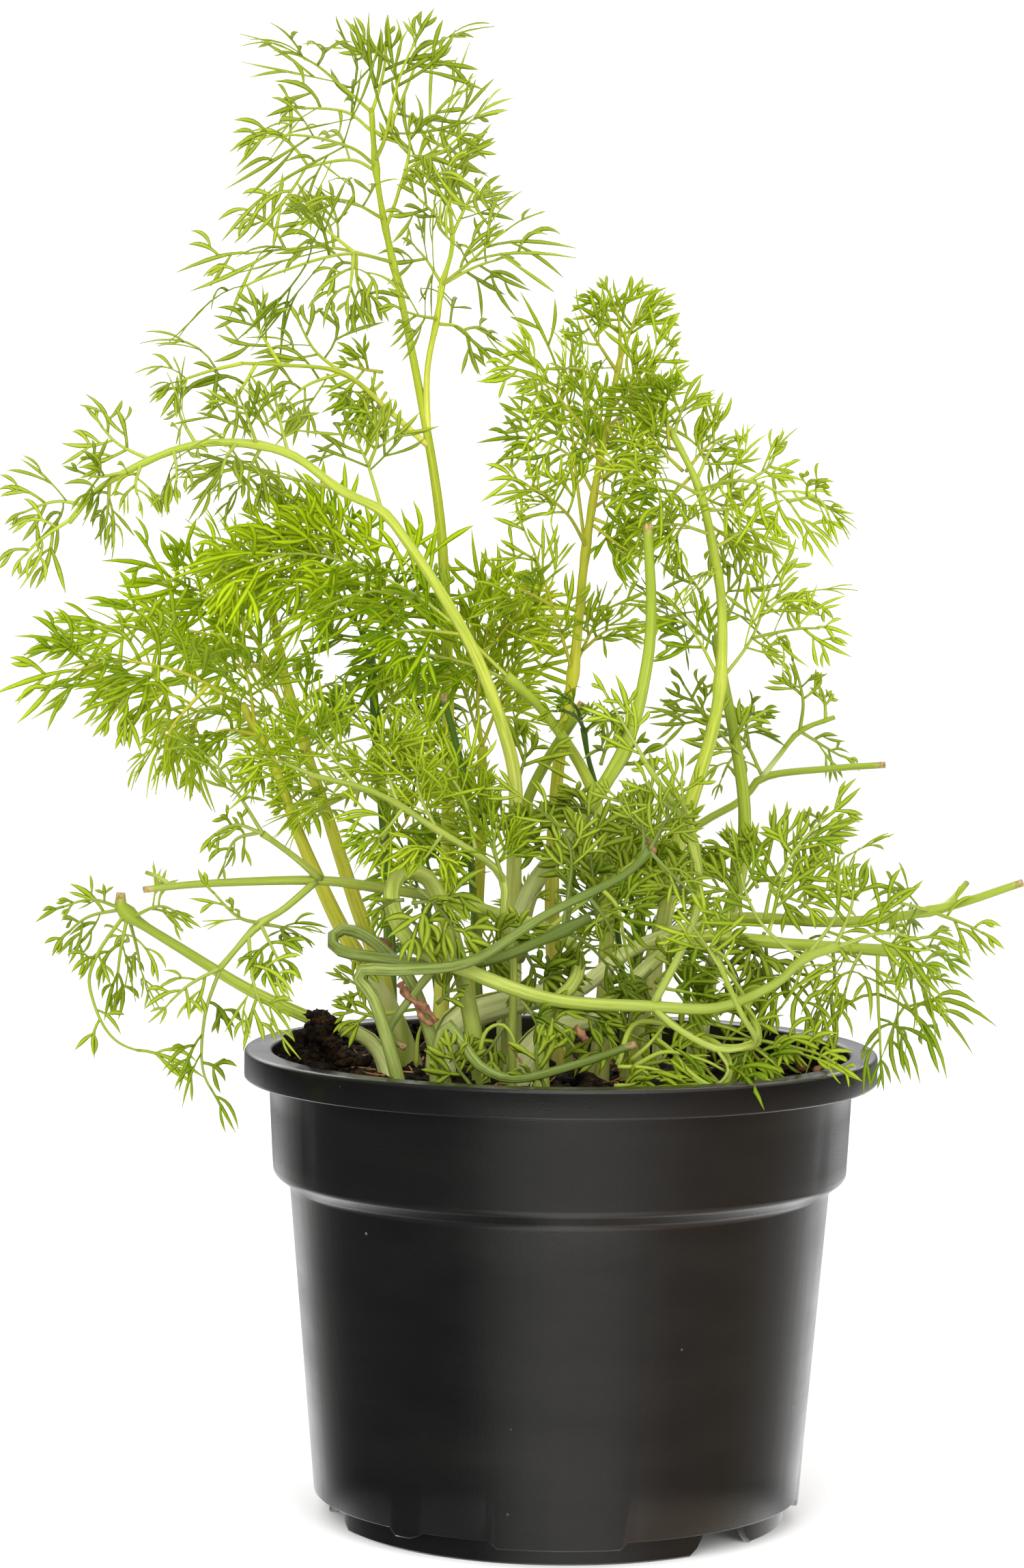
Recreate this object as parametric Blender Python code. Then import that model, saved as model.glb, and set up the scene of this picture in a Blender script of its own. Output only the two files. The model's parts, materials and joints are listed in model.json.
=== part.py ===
"""Potted dill growing in a black nursery pot. Metres, +Z up; the pot's axis is Z and its foot stands on z = 0.

Each frond is one node: its stems and leaves follow routes chosen by hand from the photograph, in
millimetres, and its lobes are placed along each leaf by one rule. The front of the plant faces -Y.
"""

import math
import random

import bmesh
import bpy
from mathutils import Matrix, Vector, kdtree
from mathutils.geometry import intersect_point_line

MM = 0.001
GAP = 0.3

# The pot, in millimetres
POT_HEIGHT = 96.2
POT_SEGMENTS = 40
LIP_RADIUS = 65.0
LIP_UNDERSIDE = 90.3
LIP_INNER_RADIUS = 59.3
COLLAR_TOP_RADIUS = 59.9
COLLAR_BOTTOM_RADIUS = 58.9
COLLAR_BOTTOM = 70.9
BODY_TOP_RADIUS = 55.5
BODY_TOP = 68.3
BODY_BOTTOM_RADIUS = 50.1
SKIRT_BOTTOM = 5.0
WALL = 1.2
FOOT_RADIUS = 46.9
FOOT_WIDTH = 1.6
FLOOR_BOTTOM = 3.8
FLOOR_TOP = 6.2
PAD_RADIUS = 7.0
# The foot ring has three arched gaps, and the skirt hangs lower in three broad and three narrow tabs
GAP_ANGLES = (45, 165, 285)
GAP_HALF_WIDTH = 9
GAP_RISE = 4.0
BROAD_TABS = (0, 120, 240)
NARROW_TABS = (82.5, 202.5, 322.5)
TAB_DROP = 1.5
DRAIN_RADIUS = 4.0
DRAIN_CIRCLE = 30.0
DRAIN_ANGLES = (15, 105, 195, 285)

# The soil, in millimetres
SOIL_SEGMENTS = 24
SOIL_LEVEL = 90.3
SOIL_SLOPE_X = -0.055
SOIL_SLOPE_Y = -0.015

# Stems and leaves, in millimetres
STEM_SIDES = 6
LEAF_THICKNESS = 0.7
LOBE_SPACING = 16.0
LOBE_BASE = 1.7
LEAF_BARE = 0.24
MOST_ROLL = 0.8
ROLL_STEP = 2.4
ROOT_SIZE = 0.5
CLEARANCE = 1.2
OWN_CLEARANCE = 0.3

# Each stem is (radius at its root, radius at its end, route); each leaf is (longest lobe, route).
# A route's first point is the root: a main stem's is in its hole in the soil.
# Stems thin evenly to their ends, sooner where a frond's taper is under 1 and later where it is over 1.
FRONDS = {
    "frond_tall": {
        "tint": 0.6,
        "stems": [
            (1.9, 0.5, [(-26, 16, 83), (-25, 16, 102), (-24, 17, 133), (-24, 18, 158),
                (-25, 18, 189), (-27, 16, 211), (-33, 12, 243), (-38, 12, 265), (-40, 12, 277),
                (-41, 12, 289)]),
            (0.8, 0.35, [(-29, 15, 222), (-29, 12, 235), (-27, 10, 246), (-26, 10, 253),
                (-24, 10, 261), (-25, 10, 271)]),
            (0.7, 0.3, [(-30, 15, 219), (-37, 8, 227), (-46, -4, 234), (-58, -16, 235),
                (-65, -22, 235)]),
        ],
        "leaves": [
            (14, [(-40, 12, 277), (-45, 2, 280), (-55, -12, 281), (-67, -22, 279)]),
            (14, [(-40, 12, 276), (-46, 20, 279), (-57, 28, 277), (-66, 33, 270), (-68, 34, 263)]),
            (12, [(-41, 12, 288), (-46, 6, 292), (-54, -4, 297), (-60, -8, 294)]),
            (11, [(-40, 12, 284), (-47, 20, 289), (-58, 28, 290), (-62, 30, 287)]),
            (13, [(-41, 12, 288), (-39, 11, 294), (-38, 10, 300), (-38, 8, 307)]),
            (15, [(-40, 12, 278), (-38, 6, 282), (-36, 0, 290), (-33, -4, 298), (-27, -10, 308)]),
            (12, [(-40, 12, 278), (-35, 18, 291), (-31, 24, 301), (-25, 28, 305), (-18, 32, 307)]),
            (15, [(-38, 12, 264), (-36, 10, 269), (-33, 6, 276), (-26, -2, 279), (-20, -8, 284),
                (-15, -14, 290)]),
            (12, [(-35, 9, 272), (-29, 16, 280), (-21, 24, 287), (-15, 28, 289)]),
            (9, [(-33, 8, 274), (-33, 8, 280), (-33, 7, 287)]),
            (15, [(-37, 12, 257), (-45, -4, 258), (-56, -18, 254), (-67, -28, 248),
                (-74, -32, 237)]),
            (15, [(-37, 12, 257), (-49, 24, 261), (-60, 30, 261), (-71, 36, 260), (-81, 40, 259)]),
            (10, [(-44, -1, 258), (-53, 2, 266), (-57, 4, 271)]),
            (11, [(-44, -2, 258), (-44, -8, 253), (-45, -12, 245)]),
            (9, [(-44, -1, 258), (-43, 2, 252), (-40, 4, 245)]),
            (10, [(-39, 12, 266), (-45, 2, 269), (-53, -6, 269)]),
            (13, [(-26, 10, 253), (-20, 0, 257), (-14, -8, 262), (-6, -14, 266)]),
            (9, [(-26, 10, 253), (-19, 16, 257), (-11, 24, 260)]),
            (11, [(-26, 10, 253), (-30, 18, 259), (-35, 24, 264)]),
            (9, [(-24, 10, 263), (-29, 2, 268), (-34, -4, 272)]),
            (9, [(-24, 10, 263), (-21, 14, 270), (-18, 18, 276)]),
            (9, [(-25, 10, 269), (-24, 8, 277), (-19, 4, 282)]),
            (8, [(-27, 10, 246), (-31, 0, 246), (-38, -8, 248)]),
            (9, [(-27, 10, 245), (-22, 15, 244), (-17, 20, 238)]),
            (12, [(-46, -4, 234), (-52, 2, 239), (-57, 10, 248)]),
            (13, [(-46, -4, 234), (-53, -10, 231), (-59, -14, 225)]),
            (10, [(-58, -16, 235), (-63, -12, 243), (-67, -10, 248)]),
            (12, [(-65, -22, 235), (-72, -26, 233), (-82, -32, 229)]),
            (9, [(-62, -20, 235), (-66, -22, 229), (-72, -24, 225)]),
        ],
    },
    "frond_arching": {
        "tint": 0.8,
        "taper": 0.7,
        "stems": [
            (2.3, 0.5, [(-10, 2, 83), (-10, 0, 104), (-10, -2, 118), (-10, -6, 138),
                (-10, -8, 152), (-13, -12, 164), (-18, -16, 177), (-24, -20, 188),
                (-32, -24, 200), (-37, -26, 206), (-45, -30, 210), (-55, -34, 217),
                (-67, -37, 219), (-78, -39, 217), (-91, -42, 210), (-97, -44, 203)]),
            (2.1, 0.95, [(-10, -2, 115), (-7, -9, 129), (2, -14, 142), (12, -15, 159),
                (16, -15, 174), (17, -15, 187), (16, -15, 204)]),
        ],
        "leaves": [
            (11, [(-37, -26, 206), (-40, -18, 215), (-43, -12, 221), (-46, -6, 227)]),
            (10, [(-39, -18, 215), (-38, -24, 221), (-41, -28, 228)]),
            (14, [(-45, -30, 210), (-54, -18, 212), (-63, -10, 213), (-71, -4, 207)]),
            (13, [(-55, -34, 217), (-57, -28, 223), (-59, -24, 231)]),
            (12, [(-61, -36, 219), (-63, -44, 225), (-65, -48, 230)]),
            (13, [(-60, -36, 218), (-63, -30, 213), (-63, -26, 205)]),
            (11, [(-65, -36, 219), (-67, -43, 215), (-68, -47, 208)]),
            (8, [(-73, -38, 219), (-77, -28, 225), (-78, -20, 232)]),
            (9, [(-77, -39, 217), (-76, -46, 213), (-76, -50, 207)]),
            (8, [(-82, -40, 216), (-89, -35, 219), (-95, -30, 226)]),
            (7, [(-83, -40, 214), (-84, -45, 210), (-82, -47, 205)]),
            (8, [(-89, -42, 211), (-90, -38, 206), (-91, -36, 199)]),
            (7, [(-86, -41, 212), (-92, -45, 212), (-97, -47, 214)]),
            (9, [(-94, -43, 206), (-101, -39, 207), (-111, -36, 203)]),
            (11, [(-96, -44, 204), (-103, -46, 199), (-108, -47, 193)]),
        ],
    },
    "frond_swept": {
        "tint": 0.75,
        "stems": [
            (2.0, 0.9, [(7, 4, 84), (9, 4, 108), (9, 3, 131), (6, 1, 149), (-3, -1, 164),
                (-12, -5, 173)]),
        ],
        "leaves": [
            (18, [(-12, -4, 172), (-25, -3, 185), (-36, -4, 192), (-50, -10, 197),
                (-63, -18, 197), (-76, -26, 198)]),
            (18, [(-11, -4, 171), (-20, 4, 175), (-33, 12, 177), (-45, 20, 175)]),
            (16, [(-30, -4, 189), (-39, -12, 190), (-48, -22, 187), (-54, -28, 183)]),
            (15, [(-21, -3, 181), (-32, -8, 182), (-40, -14, 179)]),
            (15, [(-46, -8, 196), (-56, 0, 202), (-65, 8, 207)]),
            (14, [(-40, -6, 193), (-49, 4, 200), (-53, 10, 208)]),
            (14, [(-56, -14, 197), (-69, -16, 192), (-74, -16, 188)]),
        ],
    },
    "frond_left_front": {
        "tint": 0.6,
        "taper": 0.6,
        "stems": [
            (3.2, 0.7, [(-31, 6, 83), (-32, 6, 92), (-37, 3, 106), (-45, 0, 120), (-51, -3, 133),
                (-55, -6, 143), (-59, -10, 155), (-65, -16, 167)]),
        ],
        "leaves": [
            (16, [(-65, -15, 166), (-75, -24, 173), (-88, -32, 176), (-98, -40, 174),
                (-109, -46, 176)]),
            (14, [(-66, -17, 167), (-74, -10, 165), (-76, -6, 157), (-75, -4, 148)]),
            (14, [(-72, -21, 171), (-78, -28, 163), (-80, -32, 156), (-85, -34, 154)]),
            (12, [(-80, -27, 174), (-87, -24, 169), (-94, -22, 161)]),
            (14, [(-62, -13, 160), (-68, -20, 162), (-73, -26, 160)]),
            (14, [(-63, -13, 162), (-64, -24, 174), (-70, -32, 181)]),
        ],
    },
    "frond_left_back": {
        "tint": 0.5,
        "taper": 0.6,
        "stems": [
            (2.8, 0.7, [(-33, 17, 83), (-34, 16, 93), (-38, 14, 111), (-43, 12, 125),
                (-49, 12, 143), (-54, 12, 158), (-58, 12, 172), (-61, 12, 187)]),
        ],
        "leaves": [
            (17, [(-55, 12, 161), (-68, 22, 177), (-83, 32, 181), (-99, 40, 181), (-108, 44, 184)]),
            (15, [(-57, 12, 168), (-68, 2, 185), (-80, -8, 192), (-91, -16, 197)]),
            (15, [(-61, 12, 186), (-67, 22, 194), (-76, 32, 200)]),
            (16, [(-60, 12, 180), (-53, 22, 190), (-47, 28, 202)]),
            (14, [(-61, 12, 187), (-58, 6, 196), (-57, 4, 204)]),
            (15, [(-54, 12, 158), (-62, 24, 164), (-72, 34, 165)]),
            (14, [(-56, 12, 165), (-49, 20, 170), (-44, 26, 169)]),
            (13, [(-59, 12, 175), (-68, 4, 174), (-77, 0, 179)]),
        ],
    },
    "frond_green_back": {
        "tint": 0.15,
        "stems": [
            (1.6, 0.9, [(-35, 36, 82), (-36, 36, 99), (-37, 36, 129), (-39, 36, 152),
                (-41, 36, 175)]),
        ],
        "leaves": [
            (15, [(-40, 36, 173), (-45, 40, 184), (-52, 46, 191)]),
            (15, [(-41, 36, 174), (-36, 34, 186), (-31, 30, 195)]),
            (15, [(-40, 36, 162), (-33, 42, 167), (-27, 46, 156)]),
            (14, [(-40, 36, 158), (-46, 44, 163), (-52, 50, 160)]),
            (14, [(-39, 36, 149), (-32, 30, 153), (-28, 28, 146)]),
        ],
    },
    "frond_middle_back": {
        "tint": 0.45,
        "stems": [
            (1.8, 0.9, [(-18, 28, 83), (-18, 27, 112), (-17, 26, 137), (-17, 24, 157)]),
        ],
        "leaves": [
            (17, [(-17, 24, 157), (-18, 22, 168), (-16, 18, 182), (-13, 14, 199)]),
            (16, [(-16, 24, 157), (-12, 34, 170), (-5, 42, 187)]),
            (16, [(-17, 24, 157), (-21, 36, 168), (-26, 46, 180)]),
            (10, [(-14, 29, 163), (-10, 24, 163), (-6, 22, 161)]),
            (14, [(-17, 20, 176), (-10, 12, 185), (-4, 10, 192)]),
        ],
    },
    "frond_centre_right": {
        "tint": 0.6,
        "stems": [
            (2.0, 0.5, [(1, 20, 84), (-1, 19, 106), (-2, 18, 128), (-1, 16, 153), (2, 14, 174),
                (4, 12, 197), (7, 10, 218), (11, 10, 239)]),
        ],
        "leaves": [
            (12, [(4, 12, 199), (0, 0, 206), (-7, -12, 211), (-16, -22, 213)]),
            (12, [(2, 14, 173), (-3, 2, 188), (-7, -6, 199), (-12, -12, 210)]),
            (12, [(3, 14, 174), (7, 22, 184), (13, 30, 192)]),
            (9, [(4, 16, 178), (9, 12, 182), (14, 8, 182)]),
            (14, [(6, 11, 210), (1, 22, 218), (-8, 32, 222), (-17, 36, 218)]),
            (13, [(4, 12, 198), (2, 20, 215), (0, 26, 231), (-6, 30, 244), (-12, 32, 248)]),
            (15, [(7, 10, 218), (1, -4, 226), (-7, -16, 233), (-17, -26, 233)]),
            (13, [(9, 10, 227), (16, 0, 236), (22, -10, 242)]),
            (13, [(8, 10, 224), (17, 22, 231), (25, 30, 237)]),
            (12, [(11, 10, 238), (10, 4, 247), (6, -2, 254)]),
            (12, [(11, 10, 237), (14, 15, 247), (16, 18, 255)]),
            (12, [(11, 10, 235), (4, 0, 244), (1, -6, 251)]),
            (13, [(10, 10, 230), (3, 20, 236), (-4, 28, 236)]),
            (12, [(-3, 2, 187), (-8, -6, 190), (-13, -12, 192)]),
            (12, [(5, 11, 207), (12, 18, 211), (17, 22, 209)]),
        ],
    },
    "frond_right": {
        "tint": 0.7,
        "stems": [
            (2.3, 0.55, [(15, 6, 85), (17, 6, 105), (21, 5, 122), (24, 4, 139), (30, 2, 160),
                (32, 2, 173), (32, 3, 188), (30, 4, 200), (27, 6, 212), (21, 8, 224)]),
        ],
        "leaves": [
            (11, [(32, 2, 172), (27, 3, 181), (20, 4, 190)]),
            (13, [(32, 2, 172), (39, 12, 181), (44, 20, 193), (51, 26, 199)]),
            (11, [(39, 12, 181), (48, 0, 183), (57, -8, 183)]),
            (10, [(41, 16, 185), (48, 20, 190), (57, 26, 185)]),
            (11, [(30, 4, 199), (38, 10, 203), (46, 16, 203)]),
            (13, [(30, 4, 202), (21, -6, 204), (11, -14, 201)]),
            (15, [(27, 6, 210), (18, -6, 213), (7, -16, 207)]),
            (13, [(27, 6, 211), (35, -8, 213), (44, -16, 209), (50, -20, 197)]),
            (9, [(36, -10, 213), (41, -4, 216), (43, 0, 221)]),
            (11, [(26, 6, 213), (31, 14, 221), (38, 20, 222)]),
            (10, [(22, 8, 222), (24, 12, 228), (28, 16, 231)]),
            (14, [(23, 7, 219), (14, 20, 221), (7, 28, 219)]),
            (12, [(21, 8, 223), (17, 2, 229), (13, -4, 233)]),
            (13, [(28, 5, 207), (36, 16, 208), (42, 24, 214)]),
            (10, [(44, -16, 209), (50, -24, 209), (53, -28, 201)]),
            (9, [(31, 4, 194), (26, -4, 193), (24, -8, 189)]),
        ],
    },
    "frond_right_back": {
        "tint": 0.6,
        "stems": [
            (2.0, 1.0, [(27, 18, 84), (31, 17, 108), (37, 16, 130), (38, 15, 144), (36, 14, 158),
                (33, 15, 173), (32, 17, 181)]),
        ],
        "leaves": [
            (14, [(32, 17, 180), (28, 28, 191), (22, 34, 198)]),
            (13, [(32, 17, 180), (37, 30, 191), (38, 36, 201)]),
            (12, [(32, 17, 178), (24, 32, 185), (20, 40, 186)]),
        ],
    },
    "frond_cut_right": {
        "tint": 0.45,
        "stems": [
            (1.1, 0.7, [(21, 30, 83), (21, 30, 112), (25, 28, 136), (38, 28, 146), (43, 28, 151),
                (57, 26, 153), (68, 24, 154)]),
            (0.6, 0.45, [(42, 28, 151), (46, 26, 156), (50, 24, 161), (57, 22, 164)]),
        ],
        "leaves": [
            (6, [(50, 24, 161), (50, 18, 168), (47, 12, 177), (44, 8, 180)]),
            (4, [(55, 22, 163), (55, 26, 168), (53, 28, 173)]),
            (6, [(50, 24, 161), (58, 32, 156), (64, 36, 153)]),
            (8, [(42, 28, 151), (38, 32, 159), (30, 37, 162), (19, 44, 165)]),
            (7, [(32, 36, 162), (27, 30, 168), (23, 26, 174)]),
            (7, [(40, 31, 157), (39, 25, 164), (45, 20, 165)]),
            (6, [(39, 31, 158), (35, 24, 154), (32, 20, 147)]),
        ],
    },
    "frond_long_right": {
        "tint": 0.5,
        "taper": 0.4,
        "stems": [
            (3.4, 2.6, [(-22, -12, 83), (-24, -12, 95), (-21, -12, 103), (-9, -11, 107),
                (4, -10, 110)]),
            (2.4, 0.8, [(-3, -10.5, 108.5), (4, -10, 110), (15, -8, 118), (34, -8, 124),
                (56, -12, 124), (75, -16, 127), (92, -20, 133)]),
            (0.7, 0.6, [(75, -16, 127), (79, -12, 129), (82, -9, 132)]),
        ],
        "leaves": [
            (5, [(74, -16, 126), (82, -22, 124), (87, -26, 121)]),
            (8, [(74, -16, 126), (67, -24, 129), (62, -30, 129)]),
            (8, [(66, -14, 125), (71, -7, 119), (77, -1, 111)]),
        ],
    },
    "frond_lying_right": {
        "tint": 0.45,
        "taper": 0.4,
        "stems": [
            (3.3, 2.6, [(-9, -20, 84), (-8, -20, 95), (-2, -20, 102), (8, -20, 106)]),
            (2.4, 0.95, [(1, -20, 103.2), (8, -20, 106), (17, -18, 115), (27, -17, 121),
                (47, -19, 120), (69, -22, 119)]),
        ],
        "leaves": [
            (9, [(41, -18, 121), (42, -8, 111), (41, -4, 103)]),
            (11, [(49, -19, 120), (46, -26, 112), (40, -30, 104)]),
            (11, [(54, -20, 120), (55, -12, 111), (52, -6, 100)]),
            (9, [(60, -21, 120), (57, -28, 115), (55, -32, 108)]),
            (13, [(63, -21, 119), (63, -24, 110), (64, -26, 92)]),
            (12, [(65, -22, 119), (69, -14, 109), (76, -8, 99)]),
            (10, [(68, -22, 119), (70, -30, 115), (75, -36, 109)]),
        ],
    },
    "frond_loop_front": {
        "tint": 0.65,
        "taper": 2.0,
        "stems": [
            (1.8, 0.75, [(-15, -30, 85), (-17, -30, 99), (-21, -30, 118), (-26, -30, 132),
                (-31, -32, 135), (-34, -36, 132), (-33, -39, 126), (-29, -41, 121),
                (-18, -42, 116), (-2, -43, 111), (17, -44, 110), (30, -45, 110), (41, -47, 115),
                (46, -49, 120), (53, -51, 123)]),
            (0.8, 0.5, [(17, -44, 110), (23, -46, 122), (26, -48, 133), (23, -50, 146),
                (15, -52, 158)]),
            (0.7, 0.5, [(17, -44, 109), (22, -46, 106), (30, -46, 102), (37, -46, 103),
                (37, -48, 105), (34, -52, 110), (29, -54, 121)]),
        ],
        "leaves": [
            (8, [(17, -52, 156), (11, -53, 165), (5, -54, 175)]),
            (8, [(22, -50, 147), (16, -46, 153), (14, -44, 159)]),
            (7, [(24, -50, 143), (22, -54, 154), (23, -56, 161)]),
            (10, [(46, -49, 120), (38, -54, 127), (34, -57, 135), (32, -58, 146)]),
            (8, [(39, -53, 126), (44, -50, 141), (57, -46, 153)]),
            (8, [(52, -51, 123), (55, -54, 131), (55, -56, 139)]),
            (9, [(47, -49, 120), (53, -45, 129), (54, -43, 139), (64, -42, 142)]),
            (11, [(52, -51, 123), (62, -55, 126), (70, -58, 123), (76, -60, 118)]),
            (10, [(30, -54, 118), (25, -56, 126), (21, -56, 130)]),
            (9, [(30, -46, 102), (32, -48, 98), (28, -49, 95), (21, -49, 100)]),
        ],
    },
    "frond_cut_left": {
        "tint": 0.6,
        "stems": [
            (1.7, 0.65, [(-4, -33, 84), (-4, -33, 104), (-1, -33, 110), (2, -32, 113),
                (3, -30, 117), (1, -29, 121), (-5, -28, 124), (-12, -28, 126), (-24, -24, 129),
                (-36, -26, 131), (-49, -32, 133), (-70, -42, 133), (-82, -46, 132)]),
            (0.8, 0.5, [(-48, -32, 133), (-53, -38, 138), (-59, -44, 143)]),
            (0.8, 0.5, [(-49, -32, 133), (-55, -40, 128), (-60, -46, 125), (-67, -50, 117)]),
            (0.5, 0.4, [(-77, -44, 133), (-79, -42, 134), (-82, -41, 135)]),
        ],
        "leaves": [
            (5, [(-59, -44, 143), (-64, -48, 145), (-68, -51, 143), (-69, -52, 139)]),
            (5, [(-60, -45, 143), (-65, -40, 141), (-68, -38, 133)]),
            (6, [(-59, -44, 143), (-64, -52, 152), (-70, -56, 159), (-77, -58, 158)]),
            (8, [(-59, -46, 126), (-54, -40, 124), (-50, -36, 121)]),
            (8, [(-59, -46, 126), (-56, -50, 120), (-53, -52, 115)]),
            (6, [(-59, -46, 126), (-64, -52, 128), (-71, -54, 136)]),
            (8, [(-66, -50, 117), (-73, -55, 114), (-79, -58, 108)]),
            (9, [(-66, -50, 117), (-70, -46, 107), (-70, -43, 95), (-63, -41, 86)]),
            (9, [(-61, -47, 123), (-60, -54, 115), (-57, -58, 109), (-51, -60, 102)]),
        ],
    },
    "frond_low_left": {
        "tint": 0.55,
        "stems": [
            (1.7, 0.85, [(-32, -14, 83), (-38, -13, 98), (-50, -13, 103), (-63, -14, 109),
                (-76, -16, 117), (-88, -18, 125), (-89, -18, 129)]),
        ],
        "leaves": [
            (4, [(-88, -18, 126), (-95, -24, 128), (-104, -28, 125)]),
            (8, [(-88, -18, 126), (-97, -12, 123), (-104, -8, 116)]),
            (8, [(-87, -18, 125), (-89, -20, 116), (-90, -20, 105)]),
            (8, [(-87, -18, 125), (-86, -12, 116), (-85, -8, 107)]),
            (8, [(-87, -18, 124), (-80, -26, 127), (-73, -32, 124)]),
            (6, [(-88, -18, 125), (-93, -26, 117), (-94, -28, 110), (-88, -30, 100),
                (-72, -32, 97)]),
        ],
    },
    "frond_kinked": {
        "tint": 0.3,
        "stems": [
            (1.4, 1.0, [(-21, -36, 86), (-25, -36, 99), (-30, -34, 113), (-38, -30, 121),
                (-44, -28, 123), (-46, -29, 121), (-44, -32, 119), (-36, -35, 118),
                (-25, -37, 117), (-15, -38, 118), (-5, -39, 122), (5, -40, 127)]),
            (0.9, 0.7, [(-25, -37, 117), (-29, -38, 112), (-34, -39, 105), (-34, -40, 103),
                (-31, -41, 101)]),
        ],
        "leaves": [
            (8, [(0, -39, 124), (1, -41, 140), (-5, -43, 148), (-15, -44, 154)]),
            (8, [(0, -39, 124), (5, -36, 121), (10, -34, 115), (12, -34, 110)]),
            (6, [(0, -39, 124), (1, -36, 131), (-2, -34, 136)]),
        ],
    },
    "frond_bent_front": {
        "tint": 0.35,
        "stems": [
            (1.5, 0.7, [(-30, -44, 85), (-33, -45, 98), (-37, -46, 111), (-40, -46, 115),
                (-39, -47, 117), (-31, -47, 117), (-18, -48, 119), (-4, -49, 128),
                (11, -50, 136), (16, -51, 141)]),
        ],
        "leaves": [
            (8, [(16, -51, 141), (19, -54, 147), (22, -56, 151)]),
            (8, [(15, -51, 140), (14, -47, 147), (5, -44, 154)]),
            (8, [(16, -51, 141), (21, -54, 136), (28, -56, 130)]),
            (7, [(4, -50, 133), (8, -47, 127), (11, -45, 120)]),
        ],
    },
    "stem_along_soil": {
        "tint": 0.4,
        "stems": [
            (1.3, 0.75, [(-24, -44, 85), (-25, -44, 98), (-23, -44, 106), (-20, -45, 103),
                (-16, -46, 98), (-9, -47, 96), (3, -47, 99), (14, -47, 103)]),
        ],
        "leaves": [
        ],
    },
    "frond_feathery": {
        "tint": 0.6,
        "stems": [
            (0.95, 0.5, [(-10, -29, 85), (-10, -29, 105), (-10, -32, 118), (-12, -34, 126),
                (-13, -33, 135), (-26, -36, 144), (-37, -42, 151), (-50, -49, 155)]),
        ],
        "leaves": [
            (17, [(-49, -47, 154), (-57, -54, 158), (-64, -58, 158)]),
            (15, [(-41, -44, 152), (-48, -47, 162), (-52, -50, 170)]),
            (15, [(-40, -43, 152), (-47, -36, 148), (-54, -30, 144)]),
            (14, [(-33, -40, 148), (-36, -36, 158), (-36, -32, 167)]),
            (14, [(-32, -39, 148), (-36, -44, 143), (-41, -48, 140)]),
            (14, [(-25, -36, 144), (-29, -39, 152), (-28, -41, 161)]),
            (13, [(-24, -36, 143), (-27, -42, 139), (-30, -46, 136)]),
            (14, [(-12, -33, 135), (-16, -26, 145), (-19, -23, 156)]),
            (13, [(-17, -34, 139), (-21, -29, 151), (-31, -29, 161), (-42, -31, 157)]),
            (11, [(-11, -33, 133), (-14, -40, 142), (-11, -44, 149)]),
        ],
    },
    "frond_bushy_back": {
        "tint": 0.15,
        "stems": [
            (1.6, 1.0, [(16, 32, 84), (16, 32, 105), (17, 32, 121)]),
        ],
        "leaves": [
            (13, [(16, 32, 119), (13, 26, 132), (9, 22, 141)]),
            (13, [(16, 32, 120), (21, 36, 131), (25, 40, 141)]),
            (13, [(16, 32, 115), (9, 40, 122), (4, 44, 129)]),
            (12, [(16, 32, 111), (23, 38, 113), (30, 42, 111)]),
        ],
    },
    "frond_short_back": {
        "tint": 0.1,
        "stems": [
            (1.4, 0.9, [(-24, 44, 83), (-26, 44, 103), (-29, 44, 121)]),
        ],
        "leaves": [
            (13, [(-29, 44, 119), (-33, 50, 131), (-37, 54, 138)]),
            (13, [(-29, 44, 119), (-25, 42, 131), (-27, 40, 142)]),
            (12, [(-28, 44, 112), (-34, 50, 114), (-38, 54, 120)]),
        ],
    },
    "stem_cut_dark": {
        "tint": 0.1,
        "stems": [
            (0.8, 0.7, [(-15, 4, 83), (-17, 4, 108), (-19, 2, 136), (-20, 1, 150), (-25, 0, 169)]),
        ],
        "leaves": [
        ],
    },
    "stem_cut_pale": {
        "tint": 0.35,
        "stems": [
            (1.2, 1.1, [(-12, 16, 84), (-12, 14, 114), (-9, 11, 138), (-6, 9, 150), (4, 8, 167)]),
        ],
        "leaves": [
        ],
    },
    "frond_dark_stalk": {
        "tint": 0.15,
        "stems": [
            (0.8, 0.5, [(13, 14, 84), (13, 13, 107), (11, 12, 124), (9, 9, 139), (7, 6, 149),
                (5, 5, 156), (4, 4, 162)]),
        ],
        "leaves": [
            (6, [(4, 4, 162), (2, -3, 165), (-2, -10, 166), (-6, -14, 164)]),
            (6, [(4, 4, 161), (7, -4, 164), (10, -20, 164), (12, -24, 161)]),
            (6, [(4, 4, 161), (2, -2, 167), (-4, -10, 171)]),
        ],
    },
    "frond_seedling": {
        "tint": 0.55,
        "stems": [
            (0.9, 0.6, [(32, -30, 86), (35, -30, 97), (39, -31, 102)]),
        ],
        "leaves": [
            (6, [(39, -31, 102), (46, -34, 101), (51, -39, 100), (57, -48, 97)]),
            (7, [(38, -31, 101), (36, -36, 99), (35, -40, 97)]),
            (7, [(38, -31, 101), (42, -28, 98), (46, -26, 96)]),
        ],
    },
}


# Scene and materials


def clear_scene():
    for thing in list(bpy.data.objects):
        bpy.data.objects.remove(thing, do_unlink=True)


def material(name, colour, roughness):
    made = bpy.data.materials.new(name)
    made.use_nodes = True
    shader = made.node_tree.nodes["Principled BSDF"]
    shader.inputs["Base Color"].default_value = (*colour, 1.0)
    shader.inputs["Roughness"].default_value = roughness
    shader.inputs["Metallic"].default_value = 0.0
    made.diffuse_color = (*colour, 1.0)
    return made


def black_plastic():
    return material("black_plastic", (0.018, 0.018, 0.020), 0.38)


def peat():
    return material("peat", (0.030, 0.019, 0.012), 0.95)


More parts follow.
